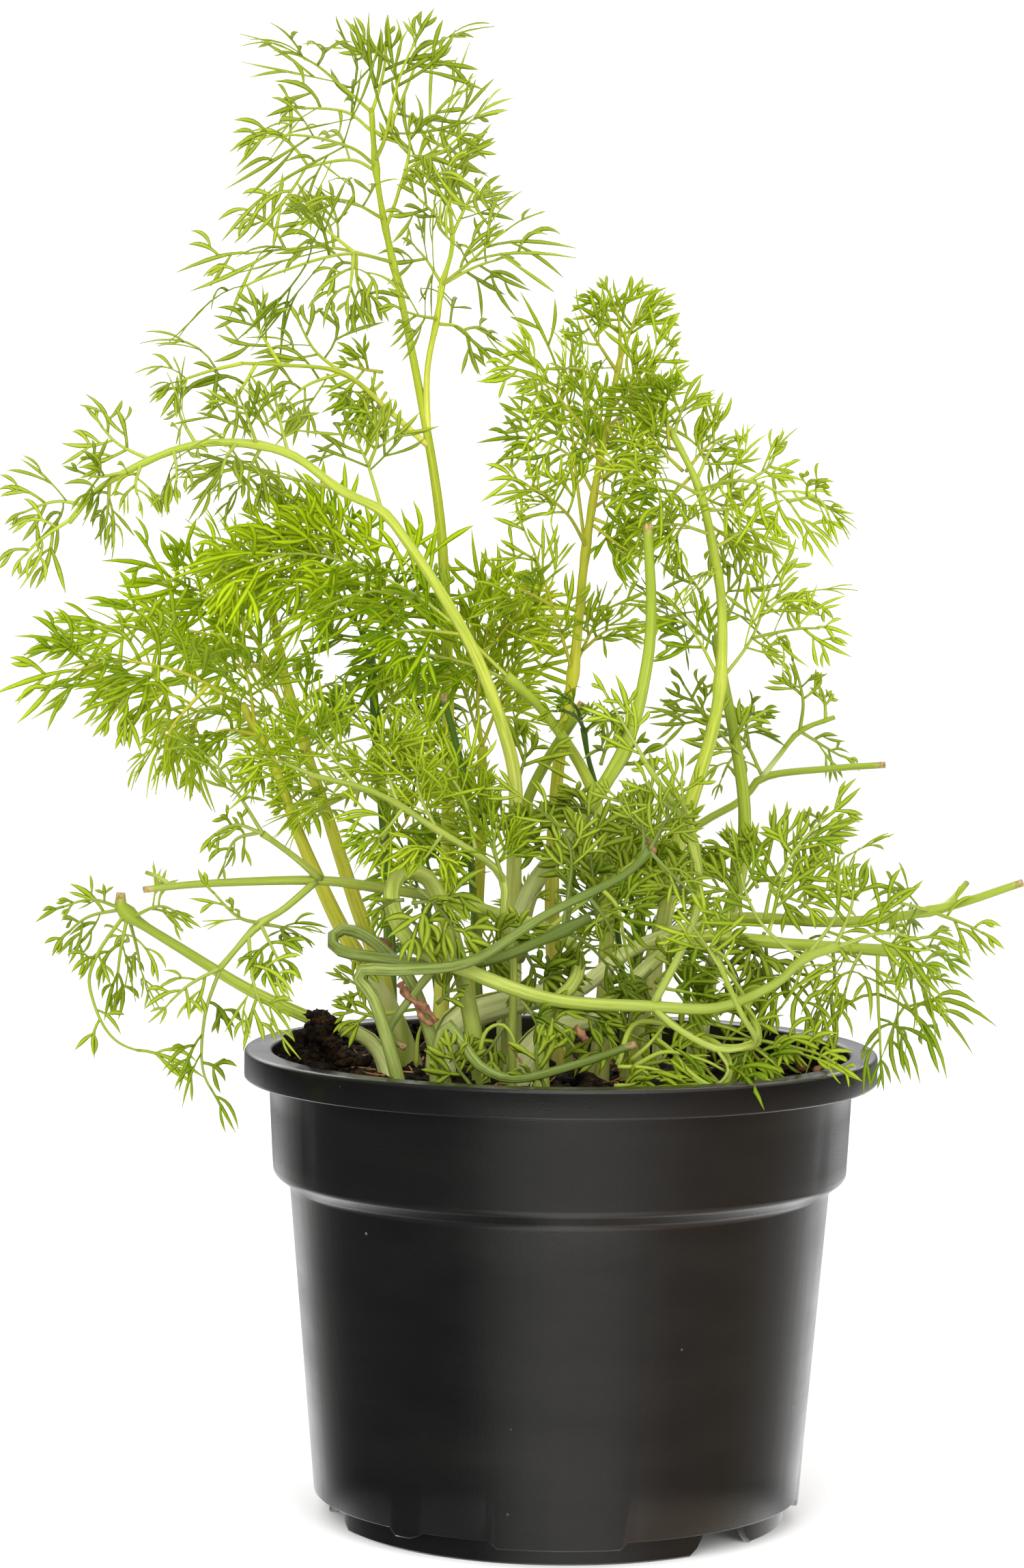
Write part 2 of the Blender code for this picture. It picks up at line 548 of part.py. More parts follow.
def foliage(name, tint):
    """A plant green: tint 0 is the dark green at the back, 1 the pale yellow-green of the thick stems."""
    dark, pale = Vector((0.10, 0.22, 0.02)), Vector((0.45, 0.58, 0.12))
    return material(name + "_green", tuple(dark.lerp(pale, tint)), 0.45)


# Mesh helpers


def add_object(name, bm, surface, sharp_angle=40):
    """Makes an object of a bmesh in millimetres, smooth except at edges sharper than sharp_angle."""
    bmesh.ops.recalc_face_normals(bm, faces=bm.faces)
    bmesh.ops.scale(bm, vec=(MM, MM, MM), verts=bm.verts)
    for face in bm.faces:
        face.smooth = True
    for edge in bm.edges:
        edge.smooth = edge.calc_face_angle(0.0) < math.radians(sharp_angle)
    mesh = bpy.data.meshes.new(name)
    bm.to_mesh(mesh)
    bm.free()
    mesh.materials.append(surface)
    made = bpy.data.objects.new(name, mesh)
    bpy.context.scene.collection.objects.link(made)
    return made


def combine(target, others, operation, solver="EXACT"):
    """Applies one Boolean of a whole collection to the target, and removes the collection's objects."""
    tools = bpy.data.collections.new("tools")
    bpy.context.scene.collection.children.link(tools)
    for other in others:
        bpy.context.scene.collection.objects.unlink(other)
        tools.objects.link(other)
    boolean = target.modifiers.new("combine", "BOOLEAN")
    boolean.operation = operation
    boolean.operand_type = "COLLECTION"
    boolean.collection = tools
    boolean.solver = solver
    graph = bpy.context.evaluated_depsgraph_get()
    result = bpy.data.meshes.new_from_object(target.evaluated_get(graph))
    target.modifiers.clear()
    target.data = result
    for other in others:
        bpy.data.objects.remove(other, do_unlink=True)
    bpy.data.collections.remove(tools)


def ring(bm, count, place):
    """A closed ring of vertices; place gives each one's radius and height from its angle in degrees."""
    made = []
    for index in range(count):
        angle = 360.0 * index / count
        radius, height = place(angle)
        turn = math.radians(angle)
        made.append(bm.verts.new((radius * math.cos(turn), radius * math.sin(turn), height)))
    return made


def skin(bm, rings, closed_by=None):
    """Joins each ring to the next with quads, and closes the first and last with a fan or one face."""
    for lower, upper in zip(rings, rings[1:]):
        count = len(lower)
        for index in range(count):
            after = (index + 1) % count
            bm.faces.new((lower[index], lower[after], upper[after], upper[index]))
    for end, centre in zip((rings[0], rings[-1]), closed_by or (None, None)):
        if centre is None:
            bm.faces.new(end)
            continue
        middle = bm.verts.new(centre)
        for index in range(len(end)):
            bm.faces.new((end[index], end[(index + 1) % len(end)], middle))


def angle_between(first, second):
    return abs((first - second + 180.0) % 360.0 - 180.0)


# Smooth lines


def curve_point(before, start, end, after, t):
    """A Catmull-Rom curve between start and end."""
    return 0.5 * (
        2 * start
        + (end - before) * t
        + (2 * before - 5 * start + 4 * end - after) * t**2
        + (3 * start - before - 3 * end + after) * t**3
    )


class Line:
    """A smooth line through hand-chosen points, read by a fraction of its length."""

    def __init__(self, points, steps=8):
        points = [Vector(point) for point in points]
        padded = [2 * points[0] - points[1], *points, 2 * points[-1] - points[-2]]
        self.points = []
        for index in range(1, len(padded) - 2):
            for step in range(steps):
                span = padded[index - 1 : index + 3]
                self.points.append(curve_point(*span, step / steps))
        self.points.append(points[-1])
        self.reach = [0.0]
        for start, end in zip(self.points, self.points[1:]):
            self.reach.append(self.reach[-1] + (end - start).length)
        self.length = self.reach[-1]

    def at(self, fraction):
        wanted = min(max(fraction, 0.0), 1.0) * self.length
        for index in range(1, len(self.points)):
            if self.reach[index] >= wanted:
                break
        span = self.reach[index] - self.reach[index - 1]
        share = (wanted - self.reach[index - 1]) / span if span else 0.0
        return self.points[index - 1].lerp(self.points[index], share)

    def direction(self, fraction):
        return (self.at(fraction + 0.03) - self.at(fraction - 0.03)).normalized()


def nearest_on(lines, point):
    """The point nearest to this one on a list of polylines."""
    best, best_distance = None, math.inf
    for line in lines:
        for start, end in zip(line, line[1:]):
            found, share = intersect_point_line(point, start, end)
            found = start.lerp(end, min(max(share, 0.0), 1.0))
            if (found - point).length < best_distance:
                best, best_distance = found, (found - point).length
    return best


# The pot


def wall_inside(height):
    """The inner radius of the pot's wall at a height."""
    if height > COLLAR_BOTTOM:
        share = (height - COLLAR_BOTTOM) / (POT_HEIGHT - COLLAR_BOTTOM)
        return COLLAR_BOTTOM_RADIUS - WALL + share * (LIP_INNER_RADIUS - COLLAR_BOTTOM_RADIUS + WALL)
    share = (height - SKIRT_BOTTOM) / (BODY_TOP - SKIRT_BOTTOM)
    return BODY_BOTTOM_RADIUS - WALL + share * (BODY_TOP_RADIUS - BODY_BOTTOM_RADIUS)


def foot_height(angle):
    """The foot ring's lower edge: on the ground, or raised over the arched gaps."""
    off = min(angle_between(angle, gap) for gap in GAP_ANGLES)
    return GAP_RISE if off < GAP_HALF_WIDTH else 0.0


def skirt_height(angle):
    """The lower edge of the body, which hangs a little lower in its tabs."""
    broad = min(angle_between(angle, tab) for tab in BROAD_TABS) < 15
    narrow = min(angle_between(angle, tab) for tab in NARROW_TABS) < 4
    return SKIRT_BOTTOM - (TAB_DROP if broad or narrow else 0.0)


def pot():
    bm = bmesh.new()
    # Angles in the gap and tab lists run from the front, which is at -90 degrees, towards +X
    front = lambda angle: angle + 90.0
    foot_inner = FOOT_RADIUS - FOOT_WIDTH
    places = [
        lambda a: (PAD_RADIUS, 0.0),
        lambda a: (PAD_RADIUS + 1.0, FLOOR_BOTTOM),
        lambda a: (foot_inner - 0.4, FLOOR_BOTTOM),
        lambda a: (foot_inner, foot_height(front(a))),
        lambda a: (FOOT_RADIUS, foot_height(front(a))),
        lambda a: (FOOT_RADIUS + 0.3, SKIRT_BOTTOM),
        lambda a: (BODY_BOTTOM_RADIUS - WALL, skirt_height(front(a))),
        lambda a: (BODY_BOTTOM_RADIUS, skirt_height(front(a))),
        lambda a: (BODY_TOP_RADIUS, BODY_TOP),
        lambda a: (COLLAR_BOTTOM_RADIUS, COLLAR_BOTTOM),
        lambda a: (COLLAR_TOP_RADIUS, LIP_UNDERSIDE),
        lambda a: (LIP_RADIUS - 0.8, LIP_UNDERSIDE),
        lambda a: (LIP_RADIUS, LIP_UNDERSIDE + 1.3),
        lambda a: (LIP_RADIUS, POT_HEIGHT - 1.6),
        lambda a: (LIP_RADIUS - 1.3, POT_HEIGHT),
        lambda a: (LIP_INNER_RADIUS + 1.5, POT_HEIGHT),
        lambda a: (LIP_INNER_RADIUS, POT_HEIGHT - 1.5),
        lambda a: (COLLAR_BOTTOM_RADIUS - WALL, COLLAR_BOTTOM + 0.5),
        lambda a: (BODY_TOP_RADIUS - WALL, BODY_TOP + 0.4),
        lambda a: (wall_inside(FLOOR_TOP), FLOOR_TOP),
    ]
    rings = [ring(bm, POT_SEGMENTS, place) for place in places]
    skin(bm, rings, closed_by=((0, 0, 0), (0, 0, FLOOR_TOP)))
    made = add_object("pot", bm, black_plastic())
    combine(made, [drain_hole(angle) for angle in DRAIN_ANGLES], "DIFFERENCE")
    return made


def drain_hole(angle):
    bm = bmesh.new()
    turn = math.radians(angle)
    height = 0.5 * (FLOOR_BOTTOM + FLOOR_TOP)
    spot = Vector((DRAIN_CIRCLE * math.cos(turn), DRAIN_CIRCLE * math.sin(turn), height))
    bmesh.ops.create_cone(
        bm,
        cap_ends=True,
        segments=8,
        radius1=DRAIN_RADIUS,
        radius2=DRAIN_RADIUS,
        depth=4 * WALL,
        matrix=Matrix.Translation(spot),
    )
    return add_object("drain_hole", bm, black_plastic())


# The soil


def soil_top(x, y):
    """The soil's surface: higher at the front left, and uneven."""
    bumps = 0.7 * math.sin(0.16 * x + 1.0) * math.cos(0.13 * y) + 0.5 * math.sin(0.31 * y + 0.21 * x)
    return SOIL_LEVEL + SOIL_SLOPE_X * x + SOIL_SLOPE_Y * y + bumps


def soil():
    bm = bmesh.new()

    def on_top(share):
        def place(angle):
            turn = math.radians(angle)
            radius = share * (wall_inside(SOIL_LEVEL) - GAP)
            height = soil_top(radius * math.cos(turn), radius * math.sin(turn))
            return min(radius, share * (wall_inside(height) - GAP)), height

        return place

    places = [
        lambda a: (wall_inside(FLOOR_TOP) - 2 * GAP, FLOOR_TOP + GAP),
        lambda a: (BODY_TOP_RADIUS - WALL - 2 * GAP, BODY_TOP - 0.5),
        lambda a: (BODY_TOP_RADIUS - WALL - GAP, BODY_TOP + 1.2),
        lambda a: (COLLAR_BOTTOM_RADIUS - WALL - 2 * GAP, COLLAR_BOTTOM + 1.5),
        on_top(1.0),
        on_top(0.78),
        on_top(0.54),
        on_top(0.27),
    ]
    rings = [ring(bm, SOIL_SEGMENTS, place) for place in places]
    skin(bm, rings, closed_by=((0, 0, FLOOR_TOP + GAP), (0, 0, soil_top(0, 0))))
    made = add_object("soil", bm, peat())
    holes = [stem_hole(plan["stems"][0]) for plan in FRONDS.values()]
    combine(made, holes, "DIFFERENCE")
    return made


def stem_hole(stem):
    """A plain hole around the lowest stretch of a stem, with a small gap all round."""
    radius, _, route = stem
    foot, above = Vector(route[0]), Vector(route[1])
    up = (above - foot).normalized()
    bm = bmesh.new()
    sides = frame_rings(bm, [foot - GAP * up, foot + 16 * up], [1.1 * radius + 0.5] * 2, 6)
    skin(bm, sides)
    return add_object("stem_hole", bm, peat())


# Stems and leaves


def frame_rings(bm, points, radii, sides):
    """Rings of vertices around a polyline, each square to the line there and turned as little as can be."""
    tangents = []
    for index in range(len(points)):
        before = points[max(index - 1, 0)]
        after = points[min(index + 1, len(points) - 1)]
        tangents.append((after - before).normalized())
    across = tangents[0].orthogonal().normalized()
    rings = []
    for point, tangent, radius in zip(points, tangents, radii):
        across = (across - across.dot(tangent) * tangent).normalized()
        beside = tangent.cross(across)
        corners = []
        for side in range(sides):
            turn = 2 * math.pi * side / sides
            corners.append(bm.verts.new(point + radius * (math.cos(turn) * across + math.sin(turn) * beside)))
        rings.append(corners)
    return rings


def stem_radii(first, last, points, taper):
    """A stem's radius at each point: it thins evenly along its length, or sooner where taper is under 1."""
    reach = [0.0]
    for start, end in zip(points, points[1:]):
        reach.append(reach[-1] + (end - start).length)
    return [first + (last - first) * (length / reach[-1]) ** taper for length in reach]


def stem_tube(name, points, radii, surface):
    bm = bmesh.new()
    skin(bm, frame_rings(bm, points, radii, STEM_SIDES))
    return add_object(name, bm, surface, sharp_angle=70)


def lobe_spans(line):
    """Where along a leaf its pairs of lobes begin and end, as fractions of its length."""
    count = max(2, round(line.length / LOBE_SPACING))
    half_base = 0.5 * LOBE_BASE / line.length
    middles = [LEAF_BARE + (0.93 - LEAF_BARE) * (index + 0.5) / count for index in range(count)]
    return [(middle - half_base, middle + half_base) for middle in middles]


def leaf_frame(line, fraction, roll):
    """The direction along a leaf, and the directions across it and off its face."""
    along = line.direction(fraction)
    across = along.cross(Vector((0, 1, 0.2))).normalized()
    across = Matrix.Rotation(roll, 3, along) @ across
    return along, across, along.cross(across)


def lobe_tip(line, fraction, side, longest, roll, lift):
    """The tip of one lobe: shorter and more forward towards the leaf's end, and hanging a little."""
    along, across, off = leaf_frame(line, fraction, roll)
    length = longest * (1.12 - 0.72 * fraction)
    lean = math.radians(60 - 24 * fraction)
    outwards = math.cos(lift) * side * across + math.sin(lift) * off
    reach = length * (math.cos(lean) * along + math.sin(lean) * outwards)
    return line.at(fraction) + reach + Vector((0, 0, -0.10 * length))


def above_pot(point):
    """Whether a leaf point keeps off the pot, the soil and the ground."""
    radius = math.hypot(point.x, point.y)
    if radius > LIP_RADIUS + 2:
        return point.z > 3
    if radius > wall_inside(POT_HEIGHT) - 2:
        return point.z > POT_HEIGHT + 1.5
    return point.z > soil_top(point.x, point.y) + 1.5


class Neighbours:
    """Sample points of every node, so that a lobe can be bent clear of the other nodes."""

    def __init__(self):
        self.samples = []

    def add(self, owner, points, radius):
        """The owner is a node's name and, where the points are a leaf's, the leaf's number."""
        for point in points:
            self.samples.append((owner, radius, point.copy()))

    def settle(self):
        self.tree = kdtree.KDTree(len(self.samples))
        for index, sample in enumerate(self.samples):
            self.tree.insert(sample[2], index)
        self.tree.balance()

    def clear(self, owner, point):
        for _, index, distance in self.tree.find_range(point, 6.0):
            other, radius, _ = self.samples[index]
            if other == owner:
                continue
            needed = OWN_CLEARANCE if other[0] == owner[0] else CLEARANCE
            if distance < radius + needed:
                return False
        return True


def place_lobe(owner, line, fraction, side, longest, roll, neighbours, draw):
    """The first of a few bent or shortened lobes that is clear of other leaves and nodes, or None."""
    start = line.at(fraction)
    lift = draw.uniform(-0.35, 0.35)
    for size in (1.0, 0.7, 0.45):
        for bend in (0.0, 0.6, -0.6, 1.1, -1.1):
            tip = lobe_tip(line, fraction, side, longest * size, roll, lift + bend)
            checks = [start.lerp(tip, share) for share in (0.3, 0.5, 0.75, 1.0)]
            if all(above_pot(spot) and neighbours.clear(owner, spot) for spot in checks):
                neighbours.add(owner, checks, 0.4)
                return tip
    return None


def leaf_blade(owner, longest, line, neighbours, surface, draw):
    """One thin arched blade: a rib along the leaf's line, with a pair of narrow lobes at each step."""
    roll = MOST_ROLL * math.sin(ROLL_STEP * owner[1])
    bm = bmesh.new()

    def across_rib(fraction, size=1.0):
        """The rib's four corners at a fraction of its length: upper left, upper right and the lower two."""
        _, across, off = leaf_frame(line, fraction, roll)
        half_width = size * (0.75 - 0.35 * fraction)
        middle = line.at(fraction)
        corners = []
        for lift in (0.5 * size * LEAF_THICKNESS, -0.5 * size * LEAF_THICKNESS):
            for side in (-1, 1):
                corners.append(bm.verts.new(middle + side * half_width * across + lift * off))
        return corners

    def span(near, far, tips):
        """The stretch of rib between two cross-sections, with a lobe on each side that has a tip."""
        for level in (0, 2):
            left_near, right_near = near[level], near[level + 1]
            left_far, right_far = far[level], far[level + 1]
            bm.faces.new((left_near, right_near, right_far))
            bm.faces.new((left_near, right_far, left_far))
        for side, tip in enumerate(tips):
            edges = (near[side], far[side]), (near[side + 2], far[side + 2])
            if tip is None:
                bm.faces.new((edges[0][0], edges[0][1], edges[1][1], edges[1][0]))
                continue
            for first, last in (*edges, *zip(*edges)):
                bm.faces.new((first, last, tip))

    section = across_rib(0.0, ROOT_SIZE)
    bm.faces.new((section[0], section[1], section[3], section[2]))
    for begin, finish in lobe_spans(line):
        fraction = 0.5 * (begin + finish)
        near, far = across_rib(begin), across_rib(finish)
        tips = []
        for side in (-1, 1):
            spot = place_lobe(owner, line, fraction, side, longest, roll, neighbours, draw)
            tips.append(bm.verts.new(spot) if spot else None)
        span(section, near, (None, None))
        span(near, far, tips)
        section = far
    end = bm.verts.new(line.at(1.0))
    around = section[0], section[1], section[3], section[2]
    for index in range(4):
        bm.faces.new((around[index - 1], around[index], end))
    return add_object("leaf", bm, surface, sharp_angle=60)


def frond_lines(plan):
    """The stems' polylines and the leaves' lines, each root drawn onto what it grows from."""
    polylines = []
    for _, _, route in plan["stems"]:
        points = [Vector(point) for point in route]
        if polylines:
            points[0] = nearest_on(polylines, points[0])
        polylines.append(points)
    carriers = list(polylines)
    lines = []
    for _, route in plan["leaves"]:
        points = [Vector(point) for point in route]
        points[0] = nearest_on(carriers, points[0])
        line = Line(points)
        lines.append(line)
        fractions = [0.0, *(end for span in lobe_spans(line) for end in span), 1.0]
        carriers.append([line.at(fraction) for fraction in fractions])
    return polylines, lines


def frond(name, plan, polylines, lines, neighbours):
    """One node: its stems and leaves, joined in one body."""
    draw = random.Random(name)
    surface = foliage(name, plan["tint"])
    pieces = []
    for (first, last, _), points in zip(plan["stems"], polylines):
        radii = stem_radii(first, last, points, plan.get("taper", 1.0))
        pieces.append(stem_tube(name, points, radii, surface))
    for index, ((longest, _), line) in enumerate(zip(plan["leaves"], lines)):
        pieces.append(leaf_blade((name, index), longest, line, neighbours, surface, draw))
        neighbours.settle()
    if len(pieces) > 1:
        combine(pieces[0], pieces[1:], "UNION", "MANIFOLD")
    pieces[0].name = name
    pieces[0].data.name = name
    return pieces[0]


def build():
    clear_scene()
    pot()
    soil()
    neighbours = Neighbours()
    shapes = {name: frond_lines(plan) for name, plan in FRONDS.items()}
    for name, (polylines, lines) in shapes.items():
        for (first, last, _), points in zip(FRONDS[name]["stems"], polylines):
            neighbours.add((name, "stem"), Line(points, 12).points, max(first, last))
        for index, line in enumerate(lines):
            neighbours.add((name, index), line.points, 0.6)
    neighbours.settle()
    for name, plan in FRONDS.items():
        frond(name, plan, *shapes[name], neighbours)


build()
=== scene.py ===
"""Looks for the potted dill: camera, light, pot, peat, and the fine foliage that stands in for each frond.

Lengths are millimetres until a mesh is made, and metres from there on. The front faces -Y.
"""

import json
import math
import random

import bmesh
import bpy
import numpy as np
from mathutils import Matrix, Vector, noise

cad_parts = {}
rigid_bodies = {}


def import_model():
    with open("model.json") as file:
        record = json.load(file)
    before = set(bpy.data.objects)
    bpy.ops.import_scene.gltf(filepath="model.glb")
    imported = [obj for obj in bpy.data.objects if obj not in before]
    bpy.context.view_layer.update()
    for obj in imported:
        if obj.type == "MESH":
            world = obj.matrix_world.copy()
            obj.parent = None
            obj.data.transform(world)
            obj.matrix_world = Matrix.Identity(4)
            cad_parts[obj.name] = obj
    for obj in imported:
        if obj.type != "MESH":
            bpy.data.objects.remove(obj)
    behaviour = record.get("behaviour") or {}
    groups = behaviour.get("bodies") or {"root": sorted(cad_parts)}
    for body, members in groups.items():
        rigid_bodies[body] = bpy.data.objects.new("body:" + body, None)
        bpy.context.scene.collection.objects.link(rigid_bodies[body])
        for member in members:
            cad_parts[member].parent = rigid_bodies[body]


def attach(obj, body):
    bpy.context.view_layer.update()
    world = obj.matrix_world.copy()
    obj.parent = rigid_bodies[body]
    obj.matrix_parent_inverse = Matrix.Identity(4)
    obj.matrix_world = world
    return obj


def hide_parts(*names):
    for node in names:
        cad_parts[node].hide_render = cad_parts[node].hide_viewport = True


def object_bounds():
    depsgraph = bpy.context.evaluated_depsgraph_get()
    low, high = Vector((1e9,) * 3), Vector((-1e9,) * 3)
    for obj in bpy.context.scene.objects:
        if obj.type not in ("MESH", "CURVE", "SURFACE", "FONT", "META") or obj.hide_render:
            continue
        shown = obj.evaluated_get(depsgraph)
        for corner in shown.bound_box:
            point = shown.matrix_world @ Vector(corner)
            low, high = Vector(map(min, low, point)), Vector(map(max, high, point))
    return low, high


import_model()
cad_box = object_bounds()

MM = 0.001
TURN = 2 * math.pi
CURVE_STEPS = 16

# The fitted camera: its place and tilt, and a lens that frames 1500 x 2296 as the photograph does
CAMERA_PLACE = (-0.0106, -0.859, 0.2019)
CAMERA_DOWN = 3.42
CAMERA_ROLL = 0.59
LENS = 96.41
SENSOR_WIDTH = 36.0
NEAREST, FURTHEST = 0.05, 50.0

# The studio in metres: the floor's half width, and the lights as (name, place, power)
FLOOR_REACH = 4
LIGHTS = (
    ("key", (-0.55, -1.3, 0.75), 20.0),
    ("fill", (0.65, -1.25, 0.65), 14.0),
)
LIGHT_TARGET = (0, 0, 0.17)
LIGHT_SIZE = 0.9
EVEN_COLOUR = (1.0, 0.99, 0.97, 1.0)
EVEN_STRENGTH = 1.12
GLOSS_STRENGTH = 3.3
BACKDROP_COLOUR = (1.0, 1.0, 1.0, 1.0)
BACKDROP_STRENGTH = 1.3

# The pot and the soil, in millimetres, as in the frame. Angles are degrees round from the front
# towards +X, but those of the drain holes start at +X
POT_HEIGHT = 96.2
LIP_RADIUS = 65.0
LIP_UNDERSIDE = 90.3
LIP_INNER_RADIUS = 59.3
COLLAR_TOP_RADIUS = 59.9
COLLAR_BOTTOM_RADIUS = 58.9
COLLAR_BOTTOM = 70.9
BODY_TOP_RADIUS = 55.5
BODY_TOP = 68.3
BODY_BOTTOM_RADIUS = 50.1
SKIRT_BOTTOM = 5.0
WALL = 1.2
FOOT_RADIUS = 46.9
FOOT_WIDTH = 1.6
FLOOR_BOTTOM = 3.8
FLOOR_TOP = 6.2
PAD_RADIUS = 7.0
GAP_ANGLES = (45, 165, 285)
GAP_HALF_WIDTH = 9
GAP_RISE = 4.0
GAP_OUTSIDE, GAP_SLOPE = 0.6, 2.4
BROAD_TABS = (0, 120, 240)
NARROW_TABS = (82.5, 202.5, 322.5)
BROAD_HALF_WIDTH = 15
NARROW_HALF_WIDTH = 4
TAB_DROP = 1.5
TAB_SLOPE = 0.8
DRAIN_RADIUS = 4.0
DRAIN_CIRCLE = 30.0
DRAIN_ANGLES = (15, 105, 195, 285)
DRILL_SIDES = 32
DRILL_DEPTH, DRILL_HEIGHT = 6.0, 5.0
SOIL_LEVEL = 90.3
SOIL_SLOPE_X = -0.055
SOIL_SLOPE_Y = -0.015

# The fine pot and soil: how many faces round, and where the pot's surface changes
POT_SEGMENTS = 180
BODY_RINGS = (15, 25, 35, 45, 55)
COLLAR_RINGS = (74.5, 79, 84)
PANEL_EDGES = (-58, 61, 178)
PANEL_DEPTH, PANEL_EDGE, PANEL_WAVE = 0.22, 1.1, 0.05
SHARP_ANGLE = 34
SOIL_ROWS, SOIL_COLUMNS = 70, 200
SOIL_RINGS = (FLOOR_TOP + 0.3, 40.0, BODY_TOP - 0.5, COLLAR_BOTTOM + 1.5)
SOIL_EDGE_HEIGHT = 88.0
SOIL_GAP, SOIL_TOP_GAP = 0.6, 0.25

# The litter: how many crumbs, fibres and bits there are, and how far from the middle they lie
CRUMBS = 800
CRUMB_SIZES = (0.4, 0.6, 0.9, 1.5)
CRUMB_SCALES = (0.7, 1.3)
CRUMB_LIFT = 0.3
CRUMB_TURNS = (0, 6.3)
CRUMB_STRETCHES = ((0.6, 1.3), (0.6, 1.3), (0.5, 1.0))
COARSE_BULGE, FINE_BULGE = (0.7, 1.5), (0.6, 3.4)
CRUMB_REACH = 56.0
LARGEST_BARK = 1.0
BARK_SHARE = 0.14
BANK_CRUMBS = 420
BANK_INNER, BANK_OUTER = 54.0, 57.3
BANK_START, BANK_DEPTH, BANK_HEIGHT = 52.0, 5.3, 3.6
BANK_SIZES = (0.5, 1.5)
CLUMP_CRUMBS = 160
CLUMP = (-48.0, -22.0)
CLUMP_HEIGHT = 11.0
CLUMP_WIDTHS = ((2.2, 1.2), (1.8, 1.0))
CLUMP_BASE = 0.5
CLUMP_SIZES = (0.6, 1.5)
FIBRES = 110
FIBRE_POINTS, FIBRE_STEP, FIBRE_SIDES = 4, 1.2, 5
FIBRE_REACH, FIBRE_LIMIT, FIBRE_RETREAT = 54.0, 57.5, 0.98
FIBRE_LENGTHS, FIBRE_HEIGHTS, FIBRE_RADII = (4, 13), (0.15, 1.2), (0.10, 0.22)
FIBRE_BEND = 0.5
DRY_STEP, DRY_SIDES = 0.8, 6
DRY_WRINKLES = (0.5, 1.3)
PEAT, BARK, FIBRE, DRY = range(4)

# What the glossy pot mirrors, as (degrees round from behind the camera towards +X, colour)
GLOSS_STOPS = (
    (-180, (1.0, 1.0, 1.0)),
    (-150, (1.0, 1.0, 1.0)),
    (-132, (0.30, 0.30, 0.29)),
    (-112, (0.10, 0.10, 0.10)),
    (-42, (0.10, 0.10, 0.10)),
    (-18, (0.62, 0.62, 0.58)),
    (0, (0.82, 0.80, 0.74)),
    (24, (0.72, 0.71, 0.66)),
    (52, (0.38, 0.28, 0.23)),
    (85, (0.34, 0.27, 0.19)),
    (118, (0.46, 0.45, 0.43)),
    (145, (1.0, 1.0, 1.0)),
    (180, (1.0, 1.0, 1.0)),
)

# The mirrored brightness by how far down or up the gloss looks, as (rise, brightness)
GLOSS_HEIGHTS = (
    (-0.49, 0.75),
    (-0.43, 0.20),
    (-0.38, 0.20),
    (-0.33, 0.34),
    (-0.28, 0.48),
    (-0.22, 0.50),
    (-0.18, 0.42),
    (-0.15, 0.12),
    (-0.08, 0.10),
    (0.06, 0.09),
    (0.22, 0.18),
    (0.34, 1.00),
)
RISE_LIMIT = 0.5

# Leaf colours: in the shade, in the light, shining through, and the share that shines through
LEAF_COLOURS = {
    "airy": ((0.13, 0.21, 0.010), (0.46, 0.54, 0.05), (0.50, 0.60, 0.05), 0.48),
    "bright": ((0.165, 0.275, 0.006), (0.51, 0.61, 0.035), (0.60, 0.71, 0.03), 0.50),
    "deep": ((0.13, 0.25, 0.002), (0.53, 0.66, 0.015), (0.62, 0.76, 0.01), 0.50),
    # Painted light: the back middle frond's greens are raised to look lit where the leaves in front shade it
    "bright_painted_lit": ((0.23, 0.35, 0.006), (0.62, 0.71, 0.04), (0.70, 0.80, 0.03), 0.54),
    "middle": ((0.13, 0.22, 0.008), (0.43, 0.53, 0.04), (0.52, 0.62, 0.03), 0.46),
    "back": ((0.07, 0.15, 0.002), (0.34, 0.46, 0.012), (0.42, 0.56, 0.01), 0.44),
    "grey": ((0.10, 0.17, 0.010), (0.34, 0.43, 0.035), (0.44, 0.54, 0.03), 0.44),
}

# Stem colours: at the root, in the shade, in the light, and the roughness
STEM_COLOURS = {
    "ribbed": ((0.78, 0.76, 0.15), (0.29, 0.37, 0.015), (0.62, 0.64, 0.06), 0.36),
    "pale": ((0.80, 0.80, 0.32), (0.29, 0.37, 0.03), (0.58, 0.61, 0.09), 0.36),
    "green": ((0.82, 0.84, 0.42), (0.22, 0.30, 0.02), (0.48, 0.54, 0.08), 0.36),
    # Painted light: the hanging stems are pale, and their colours are raised further to look lit where other
    # stems shade them
    "pale_painted_lit": ((0.98, 0.98, 0.52), (0.24, 0.32, 0.022), (0.54, 0.60, 0.10), 0.36),
    "lush": ((0.30, 0.37, 0.06), (0.23, 0.30, 0.03), (0.50, 0.54, 0.13), 0.36),
    "ochre": ((0.74, 0.70, 0.16), (0.36, 0.37, 0.02), (0.62, 0.60, 0.06), 0.36),
    "dark": ((0.22, 0.27, 0.05), (0.05, 0.11, 0.008), (0.17, 0.26, 0.02), 0.36),
    "glaucous": ((0.23, 0.27, 0.06), (0.09, 0.135, 0.016), (0.30, 0.36, 0.09), 0.30),
}

# Litter colours: the dark and the light of the mottling
LITTER_COLOURS = {
    "bark": ((0.05, 0.022, 0.01), (0.28, 0.14, 0.06)),
    "root_fibre": ((0.12, 0.045, 0.012), (0.5, 0.25, 0.09)),
    "dry_leaf": ((0.06, 0.022, 0.012), (0.30, 0.15, 0.07)),
}

# A leaf's usual traits; forked and paired are the shares of its threads that fork again and in pairs
USUAL_TRAITS = {
    "droop": 0.26,
    "dense": 1.0,
    "long": 1.0,
    "width": 1.0,
    "fill": 0.0,
    "forked": 0.4,
    "paired": 0.3,
}

